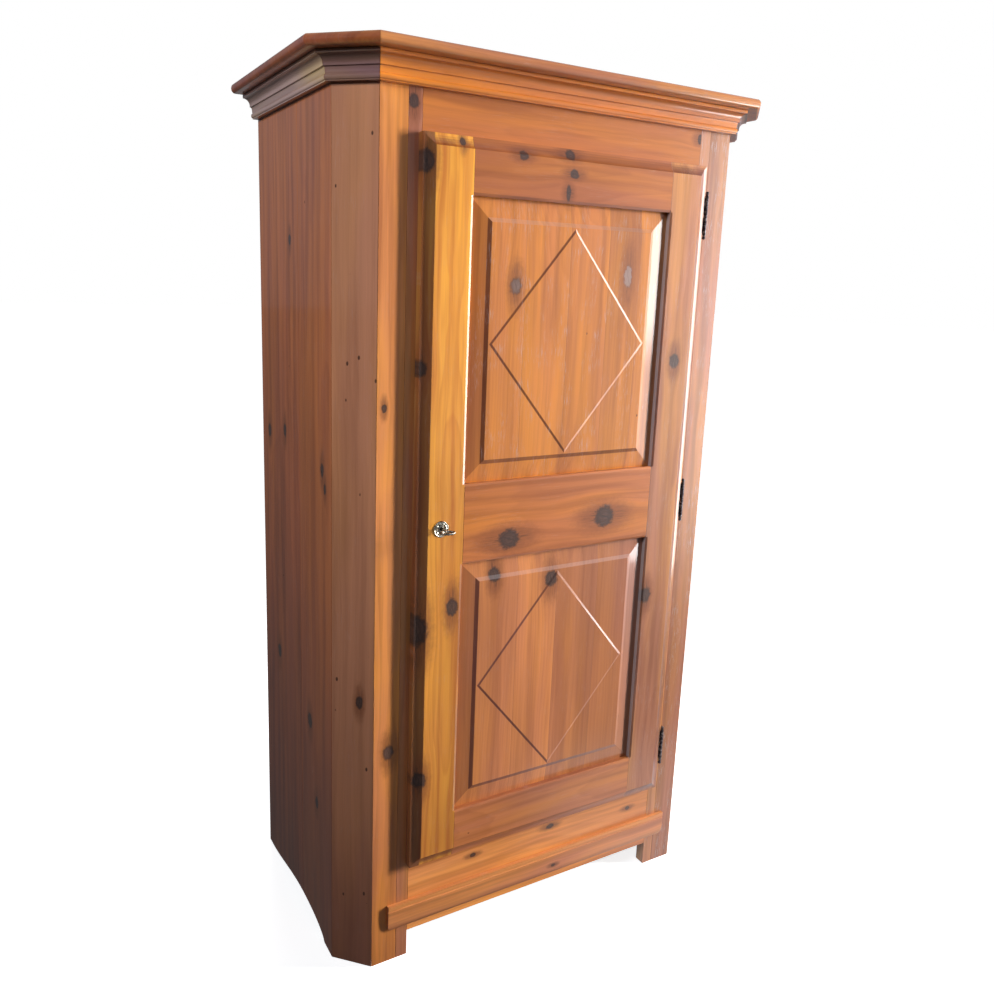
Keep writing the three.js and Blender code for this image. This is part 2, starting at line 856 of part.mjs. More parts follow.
function keyShank() {
  const end = boltBack;
  const start = keyTip + bowLength - bowRodRadius;
  const collar = start + keyCollarFromBow;
  return turned([
    [0, start],
    [keyShankRadius, start],
    [keyShankRadius, collar],
    [keyCollarRadius, collar],
    [keyCollarRadius, collar + keyCollarWidth],
    [keyShankRadius, collar + keyCollarWidth],
    [keyShankRadius, end],
    [0, end],
  ]);
}

function keyBit() {
  const back = boltBack - keyBitFromEnd;
  const front = back - keyBitLength;
  const half = keyBitThickness / 2;
  const ward = (front + back) / 2;
  const bit = block(0, keyBitReach, front, back, -half, half);
  const slot = block(keyBitReach - wardDepth, keyBitReach + overrun,
    ward - wardWidth / 2, ward + wardWidth / 2, -keyBitThickness, keyBitThickness);
  return cut(bit, slot);
}

// A round rod bent to an oval.
function keyBow() {
  const across = bowWidth / 2 - bowRodRadius;
  const along = bowLength / 2 - bowRodRadius;
  const loops = Array.from({ length: bowSteps }, (_, step) => {
    const angle = (2 * Math.PI * step) / bowSteps;
    const centre = new THREE.Vector3(across * Math.cos(angle), along * Math.sin(angle), 0);
    const outwards = new THREE.Vector3(along * Math.cos(angle), across * Math.sin(angle), 0).normalize();
    return Array.from({ length: bowRodSides }, (__, side) => {
      const turn = (2 * Math.PI * side) / bowRodSides;
      return centre.clone().addScaledVector(outwards, bowRodRadius * Math.cos(turn))
        .setZ(bowRodRadius * Math.sin(turn));
    });
  });
  return loft(loops, true).translate(0, keyTip + bowLength / 2, 0);
}

const key = () => lockPlace(join(keyShank(), keyBit(), keyBow()));

// The whole cupboard

function part(name, geometry, material) {
  const mesh = new THREE.Mesh(geometry, material.clone());
  mesh.name = name;
  return mesh;
}

function pair(name, geometry, material) {
  return [part(`${name}_left`, mirrored(geometry), material), part(`${name}_right`, geometry, material)];
}

const shelfTops = Array.from({ length: shelfCount }, (_, place) => shelfTop(place + 1));
const backBoards = Array.from({ length: backBoardCount }, (_, place) => backBoard(place));

const cabinet = new THREE.Group();
cabinet.position.y = frontPlane;
cabinet.add(
  ...pair('stile', stile(), pine),
  part('strip_left', lockStrip(), pine),
  part('strip_right', hingeStrip(), pine),
  part('bottom_rail', frameRail(frameRails[0]), pine),
  part('top_rail', frameRail(frameRails[1]), pine),
  part('base_moulding', baseMoulding(), moulding),
  ...pair('cant_board', cantBoard(), pine),
  ...pair('side_front_board', sideFrontBoard(), pine),
  ...pair('side_rear_board', sideRearBoard(), pine),
  ...backBoards.map((board, place) => part(`back_board_${place + 1}`, board, rawPine)),
  part('floor_board', shelf(openingBottom), rawPine),
  ...pair('floor_cleat', cleat(openingBottom), rawPine),
  ...shelfTops.flatMap((top, place) => [
    part(`shelf_${place + 1}`, shelf(top), rawPine),
    ...pair(`shelf_${place + 1}_cleat`, cleat(top), rawPine),
  ]),
  part('top_board', topBoard(), pine),
  part('cornice_front', corniceFront(), moulding),
  ...pair('cornice_cant', corniceCant(), moulding),
  ...pair('cornice_side', corniceSide(), moulding),
  part('keeper_plate', keeperPlate(), brass),
  part('door_stile_left', lockStile(), palePine),
  part('door_stile_right', hingeStile(), palePine),
  ...Object.entries(doorRails).map(([place, rail]) => part(`door_rail_${place}`, doorRail(rail), pine)),
  part('door_panel_lower', panel(lowerOpening), panelPine),
  part('door_panel_upper', panel(upperOpening), panelPine),
  ...Object.entries(hingeHeights).flatMap(([place, height]) => [
    part(`hinge_frame_half_${place}`, hingeFrameHalf(height), blackIron),
    part(`hinge_door_half_${place}`, hingeDoorHalf(height), blackIron),
  ]),
  part('escutcheon', escutcheon(), brass),
  part('lock_case', lockCase(), brass),
  part('lock_bolt', lockBolt(), brass),
  part('key', key(), brass),
);

export default cabinet;
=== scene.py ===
# %% [markdown]
# A tall pine cupboard with one door. The measured solids come in first as a fixed frame: they say where
# every board, hinge and lock piece is. This script only gives them their look, so the frame is loaded
# before anything else.

# %% Load the frame
import json
from math import radians

import bmesh
import bpy
import numpy as np
from mathutils import Matrix

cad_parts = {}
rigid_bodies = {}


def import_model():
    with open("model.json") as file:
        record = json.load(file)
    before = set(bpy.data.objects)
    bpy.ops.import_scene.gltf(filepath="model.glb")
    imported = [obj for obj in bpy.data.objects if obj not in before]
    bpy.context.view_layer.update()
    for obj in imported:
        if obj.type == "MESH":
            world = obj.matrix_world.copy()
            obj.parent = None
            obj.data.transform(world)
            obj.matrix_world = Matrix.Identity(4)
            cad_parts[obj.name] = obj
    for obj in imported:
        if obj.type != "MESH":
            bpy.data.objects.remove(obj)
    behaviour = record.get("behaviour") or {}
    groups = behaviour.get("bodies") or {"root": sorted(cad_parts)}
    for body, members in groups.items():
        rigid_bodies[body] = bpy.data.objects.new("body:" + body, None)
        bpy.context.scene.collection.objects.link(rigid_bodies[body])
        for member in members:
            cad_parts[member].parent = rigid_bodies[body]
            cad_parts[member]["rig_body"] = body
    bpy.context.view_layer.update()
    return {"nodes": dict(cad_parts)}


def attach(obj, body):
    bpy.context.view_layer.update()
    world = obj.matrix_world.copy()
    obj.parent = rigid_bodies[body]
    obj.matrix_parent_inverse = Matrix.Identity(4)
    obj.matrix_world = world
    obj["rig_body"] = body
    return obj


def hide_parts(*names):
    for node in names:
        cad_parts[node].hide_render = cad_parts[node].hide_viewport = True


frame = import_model()
nodes = frame["nodes"]
print("solids:", len(nodes))

# %% [markdown]
# The camera stands to the left of the cupboard, a little below eye height, and looks down and to the right.
# Its place and its three turns were worked out from the edges of the cupboard in the photograph. A camera
# matrix is three unit vectors, right, up and back, and a place. The small shift says that the photograph
# was cropped a little off its middle. The focal length and the shift are in picture widths.

# %% Camera
FOCAL = 864.7 / 994
SHIFT_RIGHT, SHIFT_UP = 0.0265, -0.0340
SENSOR_MM, NEAREST = 36.0, 0.01
PLACE = (-1.0525, -1.70445, 1.4451)
YAW, PITCH, ROLL = 0.5177, 0.2058, 0.0326


def camera_turns(yaw, pitch, roll):
    """Right, up and back: forward is yawed from +Y towards +X and pitched down, then right and up are
    turned about it by the roll."""
    forward = np.array([np.sin(yaw) * np.cos(pitch), np.cos(yaw) * np.cos(pitch), -np.sin(pitch)])
    level = np.array([np.cos(yaw), -np.sin(yaw), 0.0])
    above = np.cross(level, forward)
    right = np.cos(roll) * level + np.sin(roll) * above
    up = np.cos(roll) * above - np.sin(roll) * level
    return right, up, -forward


def in_scene(name, data):
    """A new object in the scene."""
    thing = bpy.data.objects.new(name, data)
    scene.collection.objects.link(thing)
    return thing


scene = bpy.context.scene
lens = bpy.data.cameras.new("camera")
lens.sensor_fit = "HORIZONTAL"
lens.sensor_width = SENSOR_MM
lens.lens = SENSOR_MM * FOCAL
lens.shift_x, lens.shift_y = SHIFT_RIGHT, SHIFT_UP
lens.clip_start = NEAREST
camera = in_scene("camera", lens)
pose = np.eye(4)
pose[:3, 0], pose[:3, 1], pose[:3, 2] = camera_turns(YAW, PITCH, ROLL)
pose[:3, 3] = PLACE
camera.matrix_world = Matrix(pose.tolist())
bpy.context.scene.camera = camera
print("focal length mm:", round(lens.lens, 2))

# %% [markdown]
# A tall window far to the right of the door lights the front at a slant of 67 degrees, so every proud edge
# draws a shadow to its left, and a weaker, cooler light comes from the left. Three lamps above one another
# stand for the height of the window: an upright edge throws one crisp shadow, a level edge throws three
# that blur into a soft one. They are spot lamps with a wide soft rim, aimed at the top of the cupboard, so
# their light fades towards the floor, as it does in the photograph. One more lamp lights the back, which
# only shows when the cupboard is turned. None of these shows in the varnish: the white glints on the
# bevelled edges come from a single wide pane that shows nowhere else.

# %% Lamps
WINDOW_COLOUR, LEFT_COLOUR = (1.0, 0.97, 0.95), (0.84, 0.93, 1.05)
BACK_COLOUR, PANE_COLOUR = (1.0, 0.98, 0.96), (0.96, 0.98, 1.0)


def aimed(name, light, place, aim):
    """Puts a lamp at a place, looking at a point: its own Z axis runs from the point back to the lamp."""
    back = np.array(place, float) - np.array(aim, float)
    back /= np.linalg.norm(back)
    right = np.cross((0.0, 0.0, 1.0), back)
    right /= np.linalg.norm(right)
    turn = np.eye(4)
    turn[:3, 0], turn[:3, 1], turn[:3, 2], turn[:3, 3] = right, np.cross(back, right), back, place
    holder = in_scene(name, light)
    holder.matrix_world = Matrix(turn.tolist())
    return holder


def spot(name, place, aim, cone, softness, watts, colour):
    """A spot lamp whose light fades all the way from its middle to its rim."""
    light = bpy.data.lights.new(name, "SPOT")
    light.spot_size, light.spot_blend = radians(cone), 1.0
    light.shadow_soft_size = softness
    light.energy, light.color = watts, colour
    aimed(name, light, place, aim).visible_glossy = False


def pane(name, place, aim, width, height, watts, colour):
    """A wide lamp that only shows as a reflection in the varnish."""
    light = bpy.data.lights.new(name, "AREA")
    light.shape = "RECTANGLE"
    light.size, light.size_y = width, height
    light.energy, light.color = watts, colour
    aimed(name, light, place, aim).visible_diffuse = False


scene.view_settings.view_transform = "Standard"
for above in (1.3, 2.2, 3.1):
    spot(f"window_light_{above}", place=(5.4, -2.83, above), aim=(-0.1, -0.25, 1.50), cone=49,
         softness=0.36, watts=1010, colour=WINDOW_COLOUR)
spot("left_light", place=(-4.2, -1.42, 3.2), aim=(-0.3, -0.2, 1.7), cone=46, softness=0.7, watts=670,
     colour=LEFT_COLOUR)
spot("back_light", place=(1.2, 5.0, 2.6), aim=(0.0, 0.4, 1.0), cone=60, softness=1.0, watts=400,
     colour=BACK_COLOUR)
pane("window_pane", place=(2.375, -1.315, 1.18), aim=(0.2, -0.46, 1.18), width=0.96, height=2.25, watts=91,
     colour=PANE_COLOUR)

# %% [markdown]
# The sky, the floor and above all the wood need long chains of small sums, and a line for each link between
# nodes would hide the idea. These helpers write one sum a line: each takes a tree and some values or
# sockets, adds one node and gives back its output.

# %% Helpers for sums
def new(tree, kind):
    """A new node."""
    return tree.nodes.new("ShaderNode" + kind)


def feed(tree, socket, value):
    """Links a socket, or sets a plain value."""
    if isinstance(value, bpy.types.NodeSocket):
        tree.links.new(value, socket)
    else:
        socket.default_value = value


def filled(tree, node, *values, **named):
    """Sets a node's sockets, in their order or by name, and gives back its outputs. An underscore in a name
    stands for a space."""
    for socket, value in zip(node.inputs, values):
        feed(tree, socket, value)
    for label, value in named.items():
        feed(tree, node.inputs[label.replace("_", " ")], value)
    return node.outputs


def sums(tree, operation, *values, clamp=False):
    """One Math node."""
    node = new(tree, "Math")
    node.operation = operation
    node.use_clamp = clamp
    return filled(tree, node, *values)[0]


def times(tree, first, second):
    """Two numbers multiplied."""
    return sums(tree, "MULTIPLY", first, second)


def line(tree, value, slope, start):
    """A number times a slope, plus where the line starts."""
    return sums(tree, "MULTIPLY_ADD", value, slope, start)


def vectors(tree, operation, *values):
    """One Vector Math node; a dot product, a length or a distance gives its number."""
    node = new(tree, "VectorMath")
    node.operation = operation
    output = "Value" if operation in ("DOT_PRODUCT", "LENGTH", "DISTANCE") else "Vector"
    return filled(tree, node, *values)[output]


def dot(tree, vector, direction):
    """How far a vector goes along a direction."""
    return vectors(tree, "DOT_PRODUCT", vector, direction)


def scaled(tree, vector, x, y, z):
    """A vector with each part multiplied by its own number."""
    return vectors(tree, "MULTIPLY", vector, (x, y, z))


def parts(tree, vector):
    """The three parts of a vector."""
    return filled(tree, new(tree, "SeparateXYZ"), vector)


def together(tree, x, y, z):
    """A vector from three numbers."""
    return filled(tree, new(tree, "CombineXYZ"), x, y, z)[0]


print("helpers for sums ready")

# %% [markdown]
# The next helpers add a cloudy noise, a ramp, a mix of colours or a shader. A node group is a small machine
# of its own with named inputs and outputs, which is built once and then placed in each board's material.

# %% Helpers for textures, shaders and groups
def cloud(tree, vector, detail=2.0, rough=0.5, output="Fac"):
    """Soft noise, one blob a unit."""
    node = new(tree, "TexNoise")
    return filled(tree, node, Vector=vector, Scale=1.0, Detail=detail, Roughness=rough)[output]


def eased(tree, value, start, end, low=0.0, high=1.0, way="SMOOTHSTEP"):
    """A ramp from low at start to high at end, smooth at both ends unless the way is LINEAR."""
    node = new(tree, "MapRange")
    node.interpolation_type = way
    return filled(tree, node, Value=value, From_Min=start, From_Max=end, To_Min=low, To_Max=high)["Result"]


def blended(tree, factor, first, second, way="MIX"):
    """Two colours, mixed."""
    node = new(tree, "Mix")
    node.data_type = "RGBA"
    node.blend_type = way
    for socket, value in zip([node.inputs[0], node.inputs[6], node.inputs[7]], (factor, first, second)):
        feed(tree, socket, value)
    return node.outputs[2]


def shader_of(tree, kind, **values):
    """One shader node with some of its sockets set."""
    return filled(tree, new(tree, kind), **values)[0]


def joined(tree, kind, *values):
    """Two shaders made one: Add takes the two, and Mix takes a factor before them."""
    return filled(tree, new(tree, kind + "Shader"), *values)[0]


def shown(tree, kind, shader):
    """The last node of a material or a world, which shows a shader."""
    filled(tree, new(tree, "Output" + kind), Surface=shader)


def group(name, inputs, outputs):
    """An empty node group with named sockets: inputs are {name: start value}, and outputs are {name: value}
    too, where the value only says what kind it is, a number, a vector of three or a colour of four."""
    tree = bpy.data.node_groups.new(name, "ShaderNodeTree")
    for way, sockets in (("INPUT", inputs), ("OUTPUT", outputs)):
        for label, start in sockets.items():
            kind = "NodeSocket" + {1: "Float", 3: "Vector", 4: "Color"}[np.size(start)]
            tree.interface.new_socket(name=label, in_out=way, socket_type=kind).default_value = start
    return tree, tree.nodes.new("NodeGroupInput").outputs, tree.nodes.new("NodeGroupOutput").inputs


def placed(tree, name, **values):
    """Puts a node group in a tree."""
    node = new(tree, "Group")
    node.node_tree = bpy.data.node_groups[name]
    return filled(tree, node, **values)


NUMBER, VECTOR, COLOUR = 0.0, (0.0, 0.0, 0.0), (0.0, 0.0, 0.0, 1.0)
print("helpers for textures, shaders and groups ready")

# %% [markdown]
# The sky is pure white to the camera, so the background is white. To the wood it is dim, so that it only
# lifts the shadows a little. In the varnish it shows as the cool haze of a pale room, which is brighter on
# the window's side, and on the left only high up, where the corner and the side boards mirror it. How
# bright a part of the sky is depends on how near its direction is to one of two: a dot product says that.

# %% Sky
WHITE, COOL_SKY = (1.0, 1.0, 1.0, 1.0), (0.88, 0.95, 1.10, 1.0)
TO_WINDOW, TO_HIGH_LEFT = (0.80, -0.20, 0.56), (-0.75, 0.24, 0.62)
DIM_SKY = 0.05
world = bpy.data.worlds.new("room")
scene.world = world
world.use_nodes = True
tree = world.node_tree
tree.nodes.clear()
heading = new(tree, "TexCoord").outputs["Generated"]
seen = new(tree, "LightPath").outputs
window_side = eased(tree, dot(tree, heading, TO_WINDOW), start=0.42, end=0.80,
                    low=0.07, high=0.46)
high_left = eased(tree, dot(tree, heading, TO_HIGH_LEFT), start=0.34, end=0.80,
                  low=0.0, high=0.20)
haze = line(tree, seen["Is Glossy Ray"], sums(tree, "ADD", window_side, high_left), DIM_SKY)
dim = shader_of(tree, "Background", Color=COOL_SKY, Strength=haze)
pale = shader_of(tree, "Background", Color=WHITE)
shown(tree, "World", joined(tree, "Mix", seen["Is Camera Ray"], dim, pale))
print("sky nodes:", len(tree.nodes))

# %% [markdown]
# The floor is a single wide sheet. To the camera it is nearly white and fades into the white of the
# background with its distance from the cupboard, so no horizon shows and only the cupboard's shadow is
# left. To the wood it is a dull floor, because a white one would throw too much light up on the lower
# boards. In the varnish it is a plain grey, paler towards the right, with a sunlit patch below the window.

# %% Floor
HALF_FLOOR = 40.0
NEAR_WHITE, DULL_FLOOR, COOL_GREY = (0.9, 0.9, 0.9, 1.0), (0.16, 0.14, 0.13, 1.0), (0.94, 0.97, 1.0, 1.0)
SUNLIT_PATCH = (0.55, -0.42, 0.0)
corners = HALF_FLOOR * np.array([(-1, -1, 0), (1, -1, 0), (1, 1, 0), (-1, 1, 0)])
floor_mesh = bpy.data.meshes.new("floor")
floor_mesh.from_pydata(corners.tolist(), [], [(0, 1, 2, 3)])
floor = in_scene("floor", floor_mesh)
floor_finish = bpy.data.materials.new("pale_floor")
floor_finish.use_nodes = True
tree = floor_finish.node_tree
tree.nodes.clear()
on_floor = new(tree, "TexCoord").outputs["Object"]
seen = new(tree, "LightPath").outputs
fade = eased(tree, vectors(tree, "LENGTH", on_floor), start=0.5, end=0.95, low=0.84, high=1.0)
whiter = joined(tree, "Add", shader_of(tree, "BsdfDiffuse", Color=NEAR_WHITE),
                shader_of(tree, "Emission", Strength=fade))
paler = eased(tree, parts(tree, on_floor)["X"], start=-0.5, end=0.5, low=0.08, high=0.26, way="LINEAR")
sunlit = eased(tree, vectors(tree, "DISTANCE", on_floor, SUNLIT_PATCH), start=0.55, end=0.20, high=0.9)
grey = shader_of(tree, "Emission", Color=COOL_GREY, Strength=sums(tree, "ADD", paler, sunlit))
dull = shader_of(tree, "BsdfDiffuse", Color=DULL_FLOOR)
mirrored = joined(tree, "Mix", seen["Is Glossy Ray"], dull, grey)
shown(tree, "Material", joined(tree, "Mix", seen["Is Camera Ray"], mirrored, whiter))
floor_mesh.materials.append(floor_finish)
print("floor:", floor.name)

# %% [markdown]
# A board is sawn along the grain, so its figure has to run along its own length, whichever way it stands in
# the cupboard. This group turns a point into the board's own measures: across its face, into its depth, and
# along its length. Each is a dot product with a direction. The groups below add a shift to them, which
# moves the board to another place in the tree it came from, so that no two boards are alike.

# %% Board measures
tree, given, result = group(
    "board measures",
    {"Point": VECTOR, "Across": (1, 0, 0), "Along": (0, 0, 1)},
    {"Measures": VECTOR},
)
point = given["Point"]
depth = vectors(tree, "CROSS_PRODUCT", given["Along"], given["Across"])
feed(tree, result["Measures"], together(
    tree, dot(tree, point, given["Across"]), dot(tree, point, depth), dot(tree, point, given["Along"])))
print("group:", tree.name)

# %% [markdown]
# A knot is the foot of a branch. This group takes the board's measures and the knot's place and size, and
# works out how far each point is from its middle, in sizes of the knot, with a ragged edge. Knots are
# chained, and each passes on the bent measures and the strongest masks so far.

# %% Knot
KNOT_MASKS = ("Core", "Rim", "Halo", "Rings", "Pale")
NO_MASKS = dict.fromkeys(KNOT_MASKS, 0.0)
RAGGED = 1.3
tree, given, result = group(
    "knot",
    {"Measures": VECTOR, "Bent": VECTOR, "Across": 0.0, "Along": 0.0, "Size": 0.01, "Stretch": 1.2,
     "Paleness": 0.0, **NO_MASKS},
    {"Bent": VECTOR, **NO_MASKS},
)


def reach_of(along, tooth):
    """Distance from the middle of the knot in knot sizes, with a ragged edge."""
    plain = vectors(tree, "LENGTH", together(tree, off_across, along, 0.0))
    return sums(tree, "ADD", sums(tree, "DIVIDE", plain, given["Size"]), tooth)


here = parts(tree, given["Measures"])
off_across = sums(tree, "SUBTRACT", here["X"], given["Across"])
off_along = sums(tree, "SUBTRACT", here["Z"], given["Along"])
short_along = sums(tree, "DIVIDE", off_along, given["Stretch"])
edge_noise = cloud(tree, scaled(tree, given["Measures"], 115, 0, 75), 5, 0.7)
rough_edge = line(tree, edge_noise, RAGGED, -0.5 * RAGGED)
reach = reach_of(short_along, rough_edge)
print("knot measures:", len(tree.nodes), "nodes")

# %% [markdown]
# A knot has rings of its own, a ragged rim that resin has turned nearly black, a thin slanting crack, and a
# red halo drawn out along the grain. Dark wings run from it up and down the board. Each is a
# mask of 0 to 1.

# %% Masks of a knot
RING_RADIANS, CRACK_SLANT, WING_STEEP = 17.0, 0.35, 1.0


def bell(value, steep):
    """1 in the middle and fading to both sides: e to the power of minus steep times the value squared."""
    return sums(tree, "EXPONENT", times(tree, times(tree, value, value), -steep))


inside = eased(tree, reach, 0.70, 1.14, 1.0, 0.0)
rim = times(tree, eased(tree, reach, 0.40, 0.90), eased(tree, reach, 0.92, 1.34, 1.0, 0.0))
rim = times(tree, rim, line(tree, given["Paleness"], -0.85, 1.0))
halo = eased(tree, reach_of(times(tree, short_along, 0.55), rough_edge), 0.9, 2.5, 1.0, 0.0)
wing = bell(sums(tree, "DIVIDE", off_across, times(tree, given["Size"], 0.75)), WING_STEEP)
up_or_down = sums(tree, "DIVIDE", sums(tree, "ABSOLUTE", short_along), given["Size"])
wing = times(tree, wing, eased(tree, up_or_down, 0.9, 3.4, 0.9, 0.0))
streaky = cloud(tree, scaled(tree, given["Measures"], 420, 0, 28), 2, 0.6)
wing = times(tree, wing, eased(tree, streaky, 0.46, 0.62))
slanted = sums(tree, "DIVIDE", line(tree, off_along, CRACK_SLANT, off_across), given["Size"])
crack = sums(tree, "ABSOLUTE", line(tree, rough_edge, 0.35, slanted))
crack = times(tree, eased(tree, crack, 0.02, 0.10, 0.9, 0.0), inside)
dark = sums(tree, "MAXIMUM", sums(tree, "MAXIMUM", rim, crack), wing)
rings = line(tree, sums(tree, "SINE", times(tree, reach, RING_RADIANS)), 0.5, 0.5)
for mask, value in (("Core", inside), ("Rim", dark), ("Halo", halo), ("Rings", times(tree, rings, inside)),
                    ("Pale", times(tree, given["Paleness"], inside))):
    feed(tree, result[mask], sums(tree, "MAXIMUM", given[mask], value))
print("knot masks:", KNOT_MASKS)

# %% [markdown]
# The grain of the trunk flows round a knot like water round a stone: near the knot the distance across the
# board is squeezed towards it, which makes the lines bend outwards there.

# %% Grain round a knot
SQUEEZE, SQUEEZE_STEEP = 0.88, 0.30
far = vectors(tree, "LENGTH", together(tree, off_across, times(tree, off_along, 0.42), 0.0))
near = bell(sums(tree, "DIVIDE", far, given["Size"]), SQUEEZE_STEEP)
bend = times(tree, times(tree, off_across, near), -SQUEEZE)
feed(tree, result["Bent"], vectors(tree, "ADD", given["Bent"], together(tree, bend, 0.0, 0.0)))
print("group:", tree.name)

# %% [markdown]
# The figure of pine comes from its year rings. Each ring is pale spring wood that darkens into a thin band
# of summer wood and then stops short. A saw cuts the board out beside the heart of the tree, so the rings
# are circles about a heart that lies behind the face and wanders along the length: where it wanders, the
# lines close into the pointed arches that flat-sawn pine shows. Ring number = distance from the heart /
# ring width. Fibres, long streaks, warmer and paler patches are clouds drawn out along the grain.

# %% Pine figure
WOBBLE_METRES, SWAY_METRES, UNEVEN_RINGS = 0.012, 0.02, 2.2
DARKENING, SUMMER_END = 1.8, 0.86
tree, given, result = group(
    "pine figure",
    {"Measures": VECTOR, "Seed": 0.0, "Heart Across": 0.0, "Heart Depth": 0.06, "Ring Width": 0.0035,
     "Wander": 0.05},
    dict.fromkeys(("Summer Wood", "Ring Tone", "Fibre", "Streak", "Patch", "Warmth"), NUMBER),
)
seed = given["Seed"]
apart = together(tree, seed, times(tree, seed, 1.7), seed)
moved = vectors(tree, "ADD", given["Measures"], together(tree, 0.0, 0.0, times(tree, seed, 3.1)))


def blobs(start, across, along, detail, rough=0.5, output="Fac"):
    """Soft noise with so many blobs a metre across the grain and along it, in the seed's own place."""
    stretched = vectors(tree, "ADD", scaled(tree, start, across, across, along), apart)
    return cloud(tree, stretched, detail, rough, output)


def from_heart(measure, heart, slow, quick):
    """Distance to the heart along one direction, with the slow drift and the quick wobble."""
    plain = sums(tree, "SUBTRACT", measure, heart)
    return sums(tree, "ADD", line(tree, slow, given["Wander"], plain),
                times(tree, quick, WOBBLE_METRES))


wobble = blobs(moved, 16.0, 3.2, 3.0, 0.55, "Color")
slow = parts(tree, vectors(tree, "SUBTRACT", blobs(moved, 2.0, 1.1, 1.0, output="Color"), (0.5, 0.5, 0.5)))
quick = parts(tree, vectors(tree, "SUBTRACT", wobble, (0.5, 0.5, 0.5)))
here = parts(tree, given["Measures"])
heart_distance = vectors(tree, "LENGTH", together(
    tree, from_heart(here["X"], given["Heart Across"], slow["X"], quick["X"]),
    from_heart(here["Y"], given["Heart Depth"], slow["Y"], quick["Y"]), 0.0))
ring = sums(tree, "DIVIDE", heart_distance, given["Ring Width"])
uneven = cloud(tree, together(tree, times(tree, ring, 0.31), seed, 0.0), 1.0)
ring = sums(tree, "ADD", ring, times(tree, uneven, UNEVEN_RINGS))
year = sums(tree, "FRACT", ring)
summer = times(tree, sums(tree, "POWER", year, DARKENING), eased(tree, year, SUMMER_END, 1.0, 1.0, 0.0))
feed(tree, result["Summer Wood"], summer)
feed(tree, result["Ring Tone"], cloud(tree, together(tree, times(tree, ring, 0.22), 7.0, seed), 1.0))
feed(tree, result["Fibre"], blobs(moved, 850, 11, 3.0, 0.6))
swayed = vectors(tree, "ADD", moved, scaled(tree, wobble, SWAY_METRES, SWAY_METRES, 0.0))
feed(tree, result["Streak"], blobs(swayed, 48, 1.5, 3.0, 0.55))
feed(tree, result["Warmth"], blobs(moved, 15.0, 2.2, 3.0))
feed(tree, result["Patch"], blobs(moved, 7.0, 2.0, 2.0))
print("group:", tree.name)

# %% [markdown]
# Old cupboards carry small marks: pin-sized worm holes, dents and dark flecks along the grain. A Voronoi
# texture scatters one centre a cell. Only some cells get a mark, chosen by the cell's own random colour,
# and each mark's size comes from that colour too, so the marks look scattered rather than sown in rows.

# %% Old marks
SMALLEST, SPREAD = 0.35, 1.1
tree, given, result = group(
    "old marks",
    {"Measures": VECTOR, "Share": 0.25, "Size": 0.0012, "Spacing": 0.02, "Seed": 0.0},
    {"Mark": NUMBER},
)
in_board = vectors(tree, "ADD", scaled(tree, given["Measures"], 1.0, 0.0, 0.55), together(
    tree, given["Seed"], 0.0, given["Seed"]))
spaced = together(tree, given["Spacing"], given["Spacing"], given["Spacing"])
cells = filled(tree, new(tree, "TexVoronoi"), Scale=1.0,
               Vector=vectors(tree, "DIVIDE", in_board, spaced))
luck = parts(tree, cells["Color"])
size = times(tree, line(tree, luck["Y"], SPREAD, SMALLEST),
             sums(tree, "DIVIDE", given["Size"], given["Spacing"]))
inside = eased(tree, sums(tree, "DIVIDE", cells["Distance"], size), 0.75, 1.15, 1.0, 0.0)
feed(tree, result["Mark"], times(tree, inside, sums(tree, "LESS_THAN", luck["X"], given["Share"])))
print("group:", tree.name)

# %% [markdown]
# Wide boards are glued up from narrower staves. Each stave comes from another part of the tree, so its
# figure jumps at the joint and its tone changes a little, and a hair line shows where the glue has opened.
# The stave's number is how many joints lie to its left, and it moves the measures far away inside the tree.
# A joint that a board doesn't have lies 9 metres to the left.

# %% Staves
JOINTS = ("First", "Second", "Third", "Fourth")
NO_JOINT = -9.0
HOP_ACROSS, HOP_ALONG = 0.035, 3.7
tree, given, result = group(
    "staves",
    {"Measures": VECTOR, **dict.fromkeys(JOINTS, NO_JOINT)},
    {"Measures": VECTOR, "Tone": NUMBER, "Joint": NUMBER},
)
here = parts(tree, given["Measures"])
number, joint = 0.0, 0.0
for name in JOINTS:
    past = sums(tree, "SUBTRACT", here["X"], given[name])
    number = sums(tree, "ADD", number, sums(tree, "GREATER_THAN", past, 0.0))
    crack = eased(tree, sums(tree, "ABSOLUTE", past), 0.0003, 0.0009, 1.0, 0.0)
    joint = sums(tree, "MAXIMUM", joint, crack)
hop = together(tree, times(tree, sums(tree, "SINE", times(tree, number, 2.4)), HOP_ACROSS), 0.0,
               times(tree, number, HOP_ALONG))
feed(tree, result["Measures"], vectors(tree, "ADD", given["Measures"], hop))
tone = new(tree, "TexWhiteNoise")
tone.noise_dimensions = "1D"
feed(tree, result["Tone"], filled(tree, tone, W=sums(tree, "ADD", number, 0.37))["Value"])
feed(tree, result["Joint"], joint)
print("group:", tree.name)
